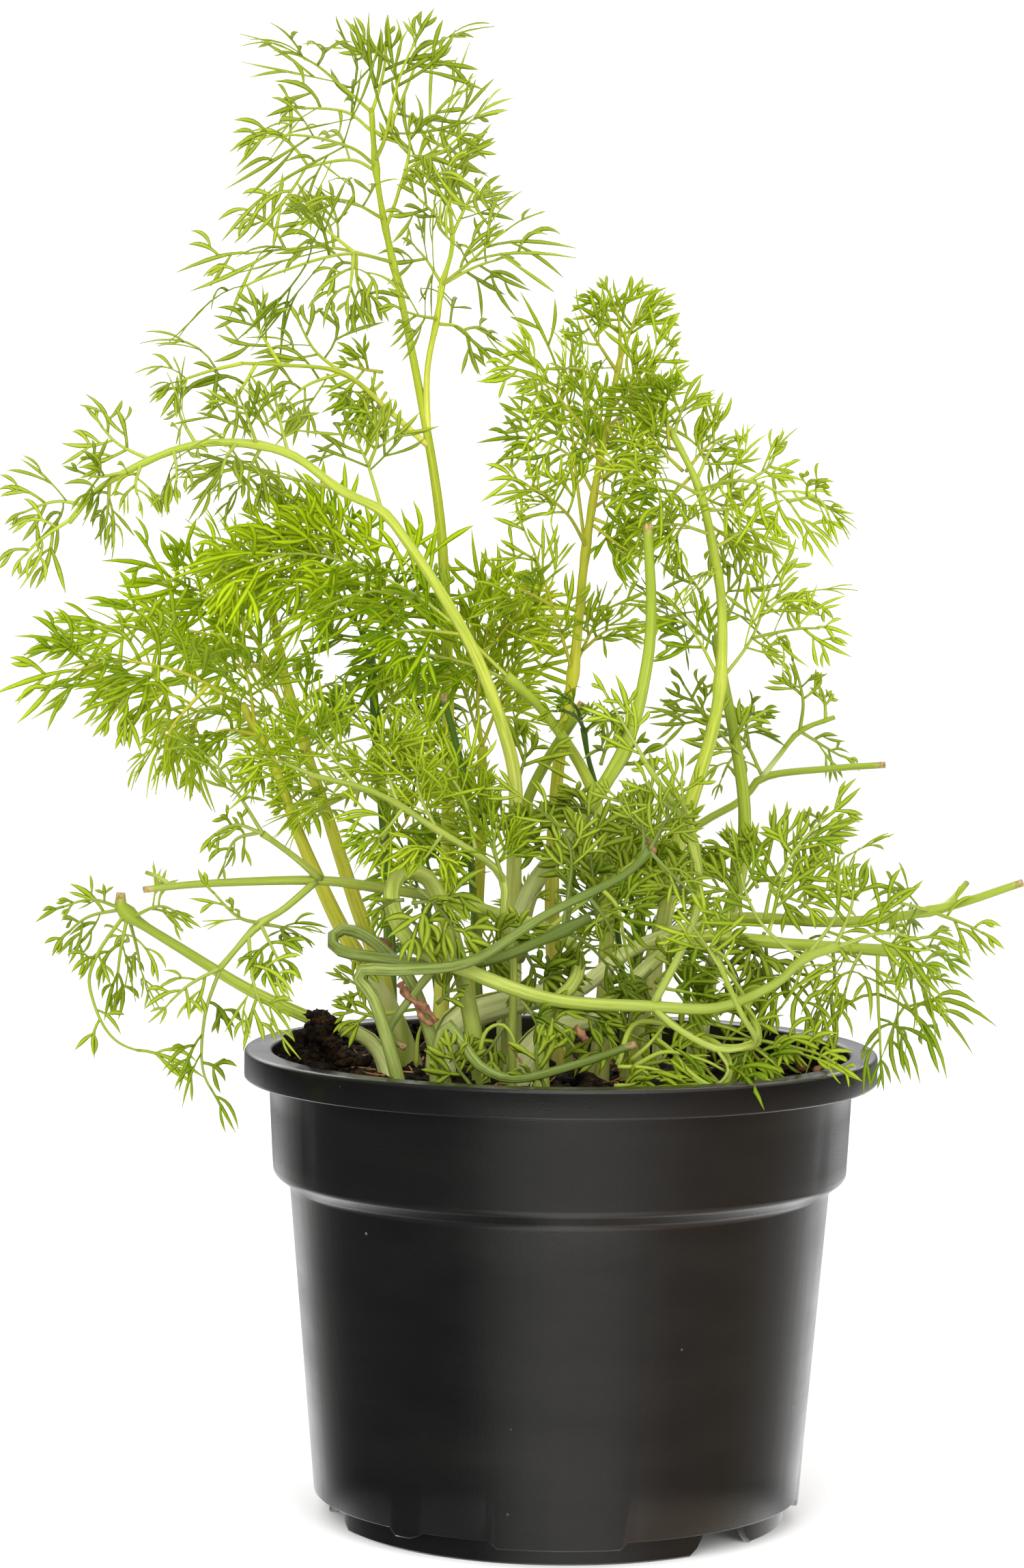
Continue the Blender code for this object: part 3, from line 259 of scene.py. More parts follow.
# A thread: its width in millimetres, and its waist, swell and point in shares of its length and width
THREAD_WIDTH = 1.0
THREAD_SECTIONS = 6
WAISTS = (0.38, 0.26, 0.10)
WAIST_WIDTH, SWELL_START, SWELL_LENGTH, SWELL = 0.60, 0.7, 0.30, 0.40
POINT_START, POINT_SHIFT, POINT_NARROWING, POINT_POWER = 0.58, 0.20, 0.93, 1.6
LEAST_THICKNESS, THICKNESS_GAIN = 0.07, 0.20
SHORT_THREAD_WIDTH, WIDTH_GAIN = 0.70, 0.035
THREAD_WIDTHS = (0.88, 1.12)
BEND_OFFSET = 0.6
SHORTENINGS, SHORTER = 5, 0.72
WANDER_SIDE, WANDER_DEPTH, WANDER_UP = 0.36, 0.24, (-0.26, 0.24)

# Where finer threads fork off, as shares of a long lobe, a short one and a fork, and how they run on
LONG_LOBE, SHORTEST_FORKED = 8.0, 6.0
LONG_FORKS, SHORT_FORKS, SECOND_FORKS = (0.30, 0.50), (0.38,), (0.36,)
FORK_SHIFT = 0.05
FORK_ANGLES = (24, 50)
FORK_TILT, FORK_RUN, FORK_CURL = 0.20, 0.12, 0.30
FORK_LENGTHS = (0.85, 1.12)
FORK_SHADE = 0.10

# A leaf: its rib in millimetres, and where its lobes start and end, in shares of its length
PAIR_SPACING = 6.0
FILL_SPACING = 10
RIB_RADIUS, RIB_THINNING = 0.43, 0.25
RIB_SIDES = 7
RIB_UP, RIB_RISE = 0.55, 0.45
RIB_END = 0.76
BARE_PART = 0.28
FILLED_PART = (0.22, 0.72)
MOST_ROLL, ROLL_STEP = 0.8, 2.4

# The lobes of a leaf: their angles in degrees, their size and their tone
LOBE_ANGLE, ANGLE_LOSS, ANGLE_SHIFT = 56, 24, 16
LOBE_LIFT, LOBE_CURL, FACE_TILT = 0.5, 0.25, 0.6
LOBE_SIZE, SIZE_LOSS = 1.25, 0.40
TIP_REACH, TIP_SIZE = 1.08, 1.5
LOBE_SIZES = (0.80, 1.10)
FILL_SIZE = 0.85
PAIR_SHIFT = (-0.2, 0.6)
LAST_LOBE_BACK, LAST_LOBE_REACH, LAST_LOBE_LEAST = 0.02, 1.05, 4.5
LEAF_TONES = (0.15, 0.85)
LOBE_TONE = 0.30

# Stems: their form, and how they swell at a leaf's root and at their own foot, in millimetres
STEM_SIDES = 20
STEM_STEP, CARRIER_STEP = 2.5, 0.5
STEM_GROOVE = 0.045
STRIPE_LENGTH = 0.035
ROOT_SWELL, ROOT_REACH, ROOT_NEAR = 0.16, 2.2, 1.5
FOOT_SWELL, FOOT_REACH = 0.22, 7.0

# The thin stalks of the undergrowth
STRAND_STEP, STRAND_SIDES = 1.2, 10
STRAND_UP, STRAND_RISE = 0.4, 0.4
STRAND_THINNING = 0.45

# Sheaths: how far round they reach in degrees, and how loosely they hug the stem in millimetres
SHEATH_COLUMNS = 12
SHEATH_THICKNESS, SHEATH_GAP = 0.22, 0.12
SHEATH_CLOSING, SHEATH_LEAST, SHEATH_POWER = 140, 20, 1.3
SHEATH_WIDTH, SHEATH_LOSS, SHEATH_WAVE = 1.22, 0.14, 0.04
LEAF, STEM, SECOND_STEM, SHEATH = range(4)

# How far a thread keeps from the frame's box, the side and the top of the lip, and the soil
BOX_ROOM = 0.4
LIP_ROOM = 1.0
TOP_ROOM = 0.8
SOIL_ROOM = 0.6

# Stems are (radius at the root, radius at the end, route); leaves are (longest lobe, route), in millimetres
FRONDS = {}
FRONDS["frond_tall"] = {
    "look": "tall",
    "stems": [
        (1.9, 0.5, [(-26, 16, 83), (-25, 16, 102), (-24, 17, 133), (-24, 18, 158), (-25, 18, 189),
            (-27, 16, 211), (-33, 12, 243), (-38, 12, 265), (-40, 12, 277), (-41, 12, 289)]),
        (0.8, 0.35, [(-29, 15, 222), (-29, 12, 235), (-27, 10, 246), (-26, 10, 253), (-24, 10, 261),
            (-25, 10, 271)]),
        (0.7, 0.3, [(-30, 15, 219), (-37, 8, 227), (-46, -4, 234), (-58, -16, 235), (-65, -22, 235)]),
    ],
    "leaves": [
        (14, [(-40, 12, 277), (-45, 2, 280), (-55, -12, 281), (-67, -22, 279)]),
        (14, [(-40, 12, 276), (-46, 20, 279), (-57, 28, 277), (-66, 33, 270), (-68, 34, 263)]),
        (12, [(-41, 12, 288), (-46, 6, 292), (-54, -4, 297), (-60, -8, 294)]),
        (11, [(-40, 12, 284), (-47, 20, 289), (-58, 28, 290), (-62, 30, 287)]),
        (13, [(-41, 12, 288), (-39, 11, 294), (-38, 10, 300), (-38, 8, 307)]),
        (15, [(-40, 12, 278), (-38, 6, 282), (-36, 0, 290), (-33, -4, 298), (-27, -10, 308)]),
        (12, [(-40, 12, 278), (-35, 18, 291), (-31, 24, 301), (-25, 28, 305), (-18, 32, 307)]),
        (15, [(-38, 12, 264), (-36, 10, 269), (-33, 6, 276), (-26, -2, 279), (-20, -8, 284),
            (-15, -14, 290)]),
        (12, [(-35, 9, 272), (-29, 16, 280), (-21, 24, 287), (-15, 28, 289)]),
        (9, [(-33, 8, 274), (-33, 8, 280), (-33, 7, 287)]),
        (15, [(-37, 12, 257), (-45, -4, 258), (-56, -18, 254), (-67, -28, 248), (-74, -32, 237)]),
        (15, [(-37, 12, 257), (-49, 24, 261), (-60, 30, 261), (-71, 36, 260), (-81, 40, 259)]),
        (10, [(-44, -1, 258), (-53, 2, 266), (-57, 4, 271)]),
        (11, [(-44, -2, 258), (-44, -8, 253), (-45, -12, 245)]),
        (9, [(-44, -1, 258), (-43, 2, 252), (-40, 4, 245)]),
        (10, [(-39, 12, 266), (-45, 2, 269), (-53, -6, 269)]),
        (13, [(-26, 10, 253), (-20, 0, 257), (-14, -8, 262), (-6, -14, 266)]),
        (9, [(-26, 10, 253), (-19, 16, 257), (-11, 24, 260)]),
        (11, [(-26, 10, 253), (-30, 18, 259), (-35, 24, 264)]),
        (9, [(-24, 10, 263), (-29, 2, 268), (-34, -4, 272)]),
        (9, [(-24, 10, 263), (-21, 14, 270), (-18, 18, 276)]),
        (9, [(-25, 10, 269), (-24, 8, 277), (-19, 4, 282)]),
        (8, [(-27, 10, 246), (-31, 0, 246), (-38, -8, 248)]),
        (9, [(-27, 10, 245), (-22, 15, 244), (-17, 20, 238)]),
        (12, [(-46, -4, 234), (-52, 2, 239), (-57, 10, 248)]),
        (13, [(-46, -4, 234), (-53, -10, 231), (-59, -14, 225)]),
        (10, [(-58, -16, 235), (-63, -12, 243), (-67, -10, 248)]),
        (12, [(-65, -22, 235), (-72, -26, 233), (-82, -32, 229)]),
        (9, [(-62, -20, 235), (-66, -22, 229), (-72, -24, 225)]),
    ],
}
FRONDS["frond_arching"] = {
    "look": "arching",
    "second": "green",
    "cut": (1,),
    "sheath": {0: 30, 1: 22},
    "taper": 0.7,
    "stems": [
        (2.3, 0.5, [(-10, 2, 83), (-10, 0, 104), (-10, -2, 118), (-10, -6, 138), (-10, -8, 152),
            (-13, -12, 164), (-18, -16, 177), (-24, -20, 188), (-32, -24, 200), (-37, -26, 206),
            (-45, -30, 210), (-55, -34, 217), (-67, -37, 219), (-78, -39, 217), (-91, -42, 210),
            (-97, -44, 203)]),
        (2.1, 0.95, [(-10, -2, 115), (-7, -9, 129), (2, -14, 142), (12, -15, 159), (16, -15, 174),
            (17, -15, 187), (16, -15, 204)]),
    ],
    "leaves": [
        (11, [(-37, -26, 206), (-40, -18, 215), (-43, -12, 221), (-46, -6, 227)]),
        (10, [(-39, -18, 215), (-38, -24, 221), (-41, -28, 228)]),
        (14, [(-45, -30, 210), (-54, -18, 212), (-63, -10, 213), (-71, -4, 207)]),
        (13, [(-55, -34, 217), (-57, -28, 223), (-59, -24, 231)]),
        (12, [(-61, -36, 219), (-63, -44, 225), (-65, -48, 230)]),
        (13, [(-60, -36, 218), (-63, -30, 213), (-63, -26, 205)]),
        (11, [(-65, -36, 219), (-67, -43, 215), (-68, -47, 208)]),
        (8, [(-73, -38, 219), (-77, -28, 225), (-78, -20, 232)]),
        (9, [(-77, -39, 217), (-76, -46, 213), (-76, -50, 207)]),
        (8, [(-82, -40, 216), (-89, -35, 219), (-95, -30, 226)]),
        (7, [(-83, -40, 214), (-84, -45, 210), (-82, -47, 205)]),
        (8, [(-89, -42, 211), (-90, -38, 206), (-91, -36, 199)]),
        (7, [(-86, -41, 212), (-92, -45, 212), (-97, -47, 214)]),
        (9, [(-94, -43, 206), (-101, -39, 207), (-111, -36, 203)]),
        (11, [(-96, -44, 204), (-103, -46, 199), (-108, -47, 193)]),
    ],
}
FRONDS["frond_swept"] = {
    "look": "swept",
    "sheath": {0: 26},
    "stems": [
        (2.0, 0.9, [(7, 4, 84), (9, 4, 108), (9, 3, 131), (6, 1, 149), (-3, -1, 164), (-12, -5, 173)]),
    ],
    "leaves": [
        (18, [(-12, -4, 172), (-25, -3, 185), (-36, -4, 192), (-50, -10, 197), (-63, -18, 197),
            (-76, -26, 198)]),
        (18, [(-11, -4, 171), (-20, 4, 175), (-33, 12, 177), (-45, 20, 175)]),
        (16, [(-30, -4, 189), (-39, -12, 190), (-48, -22, 187), (-54, -28, 183)]),
        (15, [(-21, -3, 181), (-32, -8, 182), (-40, -14, 179)]),
        (15, [(-46, -8, 196), (-56, 0, 202), (-65, 8, 207)]),
        (14, [(-40, -6, 193), (-49, 4, 200), (-53, 10, 208)]),
        (14, [(-56, -14, 197), (-69, -16, 192), (-74, -16, 188)]),
    ],
}
FRONDS["frond_left_front"] = {
    "look": "left",
    "sheath": {0: 34},
    "taper": 0.6,
    "stems": [
        (3.2, 0.7, [(-31, 6, 83), (-32, 6, 92), (-37, 3, 106), (-45, 0, 120), (-51, -3, 133),
            (-55, -6, 143), (-59, -10, 155), (-65, -16, 167)]),
    ],
    "leaves": [
        (16, [(-65, -15, 166), (-75, -24, 173), (-88, -32, 176), (-98, -40, 174), (-109, -46, 176)]),
        (14, [(-66, -17, 167), (-74, -10, 165), (-76, -6, 157), (-75, -4, 148)]),
        (14, [(-72, -21, 171), (-78, -28, 163), (-80, -32, 156), (-85, -34, 154)]),
        (12, [(-80, -27, 174), (-87, -24, 169), (-94, -22, 161)]),
        (14, [(-62, -13, 160), (-68, -20, 162), (-73, -26, 160)]),
        (14, [(-63, -13, 162), (-64, -24, 174), (-70, -32, 181)]),
    ],
}
FRONDS["frond_left_back"] = {
    "look": "left_back",
    "sheath": {0: 30},
    "taper": 0.6,
    "stems": [
        (2.8, 0.7, [(-33, 17, 83), (-34, 16, 93), (-38, 14, 111), (-43, 12, 125), (-49, 12, 143),
            (-54, 12, 158), (-58, 12, 172), (-61, 12, 187)]),
    ],
    "leaves": [
        (17, [(-55, 12, 161), (-68, 22, 177), (-83, 32, 181), (-99, 40, 181), (-108, 44, 184)]),
        (15, [(-57, 12, 168), (-68, 2, 185), (-80, -8, 192), (-91, -16, 197)]),
        (15, [(-61, 12, 186), (-67, 22, 194), (-76, 32, 200)]),
        (16, [(-60, 12, 180), (-53, 22, 190), (-47, 28, 202)]),
        (14, [(-61, 12, 187), (-58, 6, 196), (-57, 4, 204)]),
        (15, [(-54, 12, 158), (-62, 24, 164), (-72, 34, 165)]),
        (14, [(-56, 12, 165), (-49, 20, 170), (-44, 26, 169)]),
        (13, [(-59, 12, 175), (-68, 4, 174), (-77, 0, 179)]),
    ],
}
FRONDS["frond_green_back"] = {
    "look": "dark",
    "stems": [
        (1.6, 0.9, [(-35, 36, 82), (-36, 36, 99), (-37, 36, 129), (-39, 36, 152), (-41, 36, 175)]),
    ],
    "leaves": [
        (15, [(-40, 36, 173), (-45, 40, 184), (-52, 46, 191)]),
        (15, [(-41, 36, 174), (-36, 34, 186), (-31, 30, 195)]),
        (15, [(-40, 36, 162), (-33, 42, 167), (-27, 46, 156)]),
        (14, [(-40, 36, 158), (-46, 44, 163), (-52, 50, 160)]),
        (14, [(-39, 36, 149), (-32, 30, 153), (-28, 28, 146)]),
    ],
}
FRONDS["frond_middle_back"] = {
    "look": "ochre",
    "stems": [
        (1.8, 0.9, [(-18, 28, 83), (-18, 27, 112), (-17, 26, 137), (-17, 24, 157)]),
    ],
    "leaves": [
        (17, [(-17, 24, 157), (-18, 22, 168), (-16, 18, 182), (-13, 14, 199)]),
        (16, [(-16, 24, 157), (-12, 34, 170), (-5, 42, 187)]),
        (16, [(-17, 24, 157), (-21, 36, 168), (-26, 46, 180)]),
        (10, [(-14, 29, 163), (-10, 24, 163), (-6, 22, 161)]),
        (14, [(-17, 20, 176), (-10, 12, 185), (-4, 10, 192)]),
    ],
}
FRONDS["frond_centre_right"] = {
    "look": "centre",
    "sheath": {0: 20},
    "stems": [
        (2.0, 0.5, [(1, 20, 84), (-1, 19, 106), (-2, 18, 128), (-1, 16, 153), (2, 14, 174), (4, 12, 197),
            (7, 10, 218), (11, 10, 239)]),
    ],
    "leaves": [
        (12, [(4, 12, 199), (0, 0, 206), (-7, -12, 211), (-16, -22, 213)]),
        (12, [(2, 14, 173), (-3, 2, 188), (-7, -6, 199), (-12, -12, 210)]),
        (12, [(3, 14, 174), (7, 22, 184), (13, 30, 192)]),
        (9, [(4, 16, 178), (9, 12, 182), (14, 8, 182)]),
        (14, [(6, 11, 210), (1, 22, 218), (-8, 32, 222), (-17, 36, 218)]),
        (13, [(4, 12, 198), (2, 20, 215), (0, 26, 231), (-6, 30, 244), (-12, 32, 248)]),
        (15, [(7, 10, 218), (1, -4, 226), (-7, -16, 233), (-17, -26, 233)]),
        (13, [(9, 10, 227), (16, 0, 236), (22, -10, 242)]),
        (13, [(8, 10, 224), (17, 22, 231), (25, 30, 237)]),
        (12, [(11, 10, 238), (10, 4, 247), (6, -2, 254)]),
        (12, [(11, 10, 237), (14, 15, 247), (16, 18, 255)]),
        (12, [(11, 10, 235), (4, 0, 244), (1, -6, 251)]),
        (13, [(10, 10, 230), (3, 20, 236), (-4, 28, 236)]),
        (12, [(-3, 2, 187), (-8, -6, 190), (-13, -12, 192)]),
        (12, [(5, 11, 207), (12, 18, 211), (17, 22, 209)]),
    ],
}
FRONDS["frond_right"] = {
    "look": "right",
    "sheath": {0: 30},
    "stems": [
        (2.3, 0.55, [(15, 6, 85), (17, 6, 105), (21, 5, 122), (24, 4, 139), (30, 2, 160), (32, 2, 173),
            (32, 3, 188), (30, 4, 200), (27, 6, 212), (21, 8, 224)]),
    ],
    "leaves": [
        (11, [(32, 2, 172), (27, 3, 181), (20, 4, 190)]),
        (13, [(32, 2, 172), (39, 12, 181), (44, 20, 193), (51, 26, 199)]),
        (11, [(39, 12, 181), (48, 0, 183), (57, -8, 183)]),
        (10, [(41, 16, 185), (48, 20, 190), (57, 26, 185)]),
        (11, [(30, 4, 199), (38, 10, 203), (46, 16, 203)]),
        (13, [(30, 4, 202), (21, -6, 204), (11, -14, 201)]),
        (15, [(27, 6, 210), (18, -6, 213), (7, -16, 207)]),
        (13, [(27, 6, 211), (35, -8, 213), (44, -16, 209), (50, -20, 197)]),
        (9, [(36, -10, 213), (41, -4, 216), (43, 0, 221)]),
        (11, [(26, 6, 213), (31, 14, 221), (38, 20, 222)]),
        (10, [(22, 8, 222), (24, 12, 228), (28, 16, 231)]),
        (14, [(23, 7, 219), (14, 20, 221), (7, 28, 219)]),
        (12, [(21, 8, 223), (17, 2, 229), (13, -4, 233)]),
        (13, [(28, 5, 207), (36, 16, 208), (42, 24, 214)]),
        (10, [(44, -16, 209), (50, -24, 209), (53, -28, 201)]),
        (9, [(31, 4, 194), (26, -4, 193), (24, -8, 189)]),
    ],
}
FRONDS["frond_right_back"] = {
    "look": "green",
    "sheath": {0: 18},
    "stems": [
        (2.0, 1.0, [(27, 18, 84), (31, 17, 108), (37, 16, 130), (38, 15, 144), (36, 14, 158),
            (33, 15, 173), (32, 17, 181)]),
    ],
    "leaves": [
        (14, [(32, 17, 180), (28, 28, 191), (22, 34, 198)]),
        (13, [(32, 17, 180), (37, 30, 191), (38, 36, 201)]),
        (12, [(32, 17, 178), (24, 32, 185), (20, 40, 186)]),
    ],
}
FRONDS["frond_cut_right"] = {
    "look": "green",
    "cut": (0,),
    "stems": [
        (1.1, 0.7, [(21, 30, 83), (21, 30, 112), (25, 28, 136), (38, 28, 146), (43, 28, 151),
            (57, 26, 153), (68, 24, 154)]),
        (0.6, 0.45, [(42, 28, 151), (46, 26, 156), (50, 24, 161), (57, 22, 164)]),
    ],
    "leaves": [
        (6, [(50, 24, 161), (50, 18, 168), (47, 12, 177), (44, 8, 180)]),
        (4, [(55, 22, 163), (55, 26, 168), (53, 28, 173)]),
        (6, [(50, 24, 161), (58, 32, 156), (64, 36, 153)]),
        (8, [(42, 28, 151), (38, 32, 159), (30, 37, 162), (19, 44, 165)]),
        (7, [(32, 36, 162), (27, 30, 168), (23, 26, 174)]),
        (7, [(40, 31, 157), (39, 25, 164), (45, 20, 165)]),
        (6, [(39, 31, 158), (35, 24, 154), (32, 20, 147)]),
    ],
}
FRONDS["frond_long_right"] = {
    "look": "hanging",
    "cut": (1,),
    "foot": 0.22,
    "sheath": {0: 44},
    "taper": 0.4,
    "stems": [
        (3.4, 2.6, [(-22, -12, 83), (-24, -12, 95), (-21, -12, 103), (-9, -11, 107), (4, -10, 110)]),
        (2.4, 0.8, [(-3, -10.5, 108.5), (4, -10, 110), (15, -8, 118), (34, -8, 124), (56, -12, 124),
            (75, -16, 127), (92, -20, 133)]),
        (0.7, 0.6, [(75, -16, 127), (79, -12, 129), (82, -9, 132)]),
    ],
    "leaves": [
        (5, [(74, -16, 126), (82, -22, 124), (87, -26, 121)]),
        (8, [(74, -16, 126), (67, -24, 129), (62, -30, 129)]),
        (8, [(66, -14, 125), (71, -7, 119), (77, -1, 111)]),
    ],
}
FRONDS["frond_lying_right"] = {
    "look": "hanging",
    "cut": (1,),
    "foot": 0.22,
    "sheath": {0: 40},
    "taper": 0.4,
    "stems": [
        (3.3, 2.6, [(-9, -20, 84), (-8, -20, 95), (-2, -20, 102), (8, -20, 106)]),
        (2.4, 0.95, [(1, -20, 103.2), (8, -20, 106), (17, -18, 115), (27, -17, 121), (47, -19, 120),
            (69, -22, 119)]),
    ],
    "leaves": [
        (9, [(41, -18, 121), (42, -8, 111), (41, -4, 103)]),
        (11, [(49, -19, 120), (46, -26, 112), (40, -30, 104)]),
        (11, [(54, -20, 120), (55, -12, 111), (52, -6, 100)]),
        (9, [(60, -21, 120), (57, -28, 115), (55, -32, 108)]),
        (13, [(63, -21, 119), (63, -24, 110), (64, -26, 92)]),
        (12, [(65, -22, 119), (69, -14, 109), (76, -8, 99)]),
        (10, [(68, -22, 119), (70, -30, 115), (75, -36, 109)]),
    ],
}
FRONDS["frond_loop_front"] = {
    "look": "loop",
    "taper": 2.0,
    "stems": [
        (1.8, 0.75, [(-15, -30, 85), (-17, -30, 99), (-21, -30, 118), (-26, -30, 132), (-31, -32, 135),
            (-34, -36, 132), (-33, -39, 126), (-29, -41, 121), (-18, -42, 116), (-2, -43, 111),
            (17, -44, 110), (30, -45, 110), (41, -47, 115), (46, -49, 120), (53, -51, 123)]),
        (0.8, 0.5, [(17, -44, 110), (23, -46, 122), (26, -48, 133), (23, -50, 146), (15, -52, 158)]),
        (0.7, 0.5, [(17, -44, 109), (22, -46, 106), (30, -46, 102), (37, -46, 103), (37, -48, 105),
            (34, -52, 110), (29, -54, 121)]),
    ],
    "leaves": [
        (8, [(17, -52, 156), (11, -53, 165), (5, -54, 175)]),
        (8, [(22, -50, 147), (16, -46, 153), (14, -44, 159)]),
        (7, [(24, -50, 143), (22, -54, 154), (23, -56, 161)]),
        (10, [(46, -49, 120), (38, -54, 127), (34, -57, 135), (32, -58, 146)]),
        (8, [(39, -53, 126), (44, -50, 141), (57, -46, 153)]),
        (8, [(52, -51, 123), (55, -54, 131), (55, -56, 139)]),
        (9, [(47, -49, 120), (53, -45, 129), (54, -43, 139), (64, -42, 142)]),
        (11, [(52, -51, 123), (62, -55, 126), (70, -58, 123), (76, -60, 118)]),
        (10, [(30, -54, 118), (25, -56, 126), (21, -56, 130)]),
        (9, [(30, -46, 102), (32, -48, 98), (28, -49, 95), (21, -49, 100)]),
    ],
}
FRONDS["frond_cut_left"] = {
    "look": "loop",
    "cut": (0,),
    "stems": [
        (1.7, 0.65, [(-4, -33, 84), (-4, -33, 104), (-1, -33, 110), (2, -32, 113), (3, -30, 117),
            (1, -29, 121), (-5, -28, 124), (-12, -28, 126), (-24, -24, 129), (-36, -26, 131),
            (-49, -32, 133), (-70, -42, 133), (-82, -46, 132)]),
        (0.8, 0.5, [(-48, -32, 133), (-53, -38, 138), (-59, -44, 143)]),
        (0.8, 0.5, [(-49, -32, 133), (-55, -40, 128), (-60, -46, 125), (-67, -50, 117)]),
        (0.5, 0.4, [(-77, -44, 133), (-79, -42, 134), (-82, -41, 135)]),
    ],
    "leaves": [
        (5, [(-59, -44, 143), (-64, -48, 145), (-68, -51, 143), (-69, -52, 139)]),
        (5, [(-60, -45, 143), (-65, -40, 141), (-68, -38, 133)]),
        (6, [(-59, -44, 143), (-64, -52, 152), (-70, -56, 159), (-77, -58, 158)]),
        (8, [(-59, -46, 126), (-54, -40, 124), (-50, -36, 121)]),
        (8, [(-59, -46, 126), (-56, -50, 120), (-53, -52, 115)]),
        (6, [(-59, -46, 126), (-64, -52, 128), (-71, -54, 136)]),
        (8, [(-66, -50, 117), (-73, -55, 114), (-79, -58, 108)]),
        (9, [(-66, -50, 117), (-70, -46, 107), (-70, -43, 95), (-63, -41, 86)]),
        (9, [(-61, -47, 123), (-60, -54, 115), (-57, -58, 109), (-51, -60, 102)]),
    ],
}
FRONDS["frond_low_left"] = {
    "look": "green",
    "cut": (0,),
    "sheath": {0: 26},
    "stems": [
        (1.7, 0.85, [(-32, -14, 83), (-38, -13, 98), (-50, -13, 103), (-63, -14, 109), (-76, -16, 117),
            (-88, -18, 125), (-89, -18, 129)]),
    ],
    "leaves": [
        (4, [(-88, -18, 126), (-95, -24, 128), (-104, -28, 125)]),
        (8, [(-88, -18, 126), (-97, -12, 123), (-104, -8, 116)]),
        (8, [(-87, -18, 125), (-89, -20, 116), (-90, -20, 105)]),
        (8, [(-87, -18, 125), (-86, -12, 116), (-85, -8, 107)]),
        (8, [(-87, -18, 124), (-80, -26, 127), (-73, -32, 124)]),
        (6, [(-88, -18, 125), (-93, -26, 117), (-94, -28, 110), (-88, -30, 100), (-72, -32, 97)]),
    ],
}
FRONDS["frond_kinked"] = {
    "look": "glaucous",
    "cut": (1,),
    "stems": [
        (1.4, 1.0, [(-21, -36, 86), (-25, -36, 99), (-30, -34, 113), (-38, -30, 121), (-44, -28, 123),
            (-46, -29, 121), (-44, -32, 119), (-36, -35, 118), (-25, -37, 117), (-15, -38, 118),
            (-5, -39, 122), (5, -40, 127)]),
        (0.9, 0.7, [(-25, -37, 117), (-29, -38, 112), (-34, -39, 105), (-34, -40, 103), (-31, -41, 101)]),
    ],
    "leaves": [
        (8, [(0, -39, 124), (1, -41, 140), (-5, -43, 148), (-15, -44, 154)]),
        (8, [(0, -39, 124), (5, -36, 121), (10, -34, 115), (12, -34, 110)]),
        (6, [(0, -39, 124), (1, -36, 131), (-2, -34, 136)]),
    ],
}
FRONDS["frond_bent_front"] = {
    "look": "glaucous",
    "stems": [
        (1.5, 0.7, [(-30, -44, 85), (-33, -45, 98), (-37, -46, 111), (-40, -46, 115), (-39, -47, 117),
            (-31, -47, 117), (-18, -48, 119), (-4, -49, 128), (11, -50, 136), (16, -51, 141)]),
    ],
    "leaves": [
        (8, [(16, -51, 141), (19, -54, 147), (22, -56, 151)]),
        (8, [(15, -51, 140), (14, -47, 147), (5, -44, 154)]),
        (8, [(16, -51, 141), (21, -54, 136), (28, -56, 130)]),
        (7, [(4, -50, 133), (8, -47, 127), (11, -45, 120)]),
    ],
}
FRONDS["stem_along_soil"] = {
    "look": "glaucous",
    "cut": (0,),
    "stems": [
        (1.3, 0.75, [(-24, -44, 85), (-25, -44, 98), (-23, -44, 106), (-20, -45, 103), (-16, -46, 98),
            (-9, -47, 96), (3, -47, 99), (14, -47, 103)]),
    ],
    "leaves": [],
}
FRONDS["frond_feathery"] = {
    "look": "feathery",
    "stems": [
        (0.95, 0.5, [(-10, -29, 85), (-10, -29, 105), (-10, -32, 118), (-12, -34, 126), (-13, -33, 135),
            (-26, -36, 144), (-37, -42, 151), (-50, -49, 155)]),
    ],
    "leaves": [
        (17, [(-49, -47, 154), (-57, -54, 158), (-64, -58, 158)]),
        (15, [(-41, -44, 152), (-48, -47, 162), (-52, -50, 170)]),
        (15, [(-40, -43, 152), (-47, -36, 148), (-54, -30, 144)]),
        (14, [(-33, -40, 148), (-36, -36, 158), (-36, -32, 167)]),
        (14, [(-32, -39, 148), (-36, -44, 143), (-41, -48, 140)]),
        (14, [(-25, -36, 144), (-29, -39, 152), (-28, -41, 161)]),
        (13, [(-24, -36, 143), (-27, -42, 139), (-30, -46, 136)]),
        (14, [(-12, -33, 135), (-16, -26, 145), (-19, -23, 156)]),
        (13, [(-17, -34, 139), (-21, -29, 151), (-31, -29, 161), (-42, -31, 157)]),
        (11, [(-11, -33, 133), (-14, -40, 142), (-11, -44, 149)]),
    ],
}
FRONDS["frond_bushy_back"] = {
    "look": "dark",
    "stems": [
        (1.6, 1.0, [(16, 32, 84), (16, 32, 105), (17, 32, 121)]),
    ],
    "leaves": [
        (13, [(16, 32, 119), (13, 26, 132), (9, 22, 141)]),
        (13, [(16, 32, 120), (21, 36, 131), (25, 40, 141)]),
        (13, [(16, 32, 115), (9, 40, 122), (4, 44, 129)]),
        (12, [(16, 32, 111), (23, 38, 113), (30, 42, 111)]),
    ],
}
FRONDS["frond_short_back"] = {
    "look": "dark",
    "stems": [
        (1.4, 0.9, [(-24, 44, 83), (-26, 44, 103), (-29, 44, 121)]),
    ],
    "leaves": [
        (13, [(-29, 44, 119), (-33, 50, 131), (-37, 54, 138)]),
        (13, [(-29, 44, 119), (-25, 42, 131), (-27, 40, 142)]),
        (12, [(-28, 44, 112), (-34, 50, 114), (-38, 54, 120)]),
    ],
}
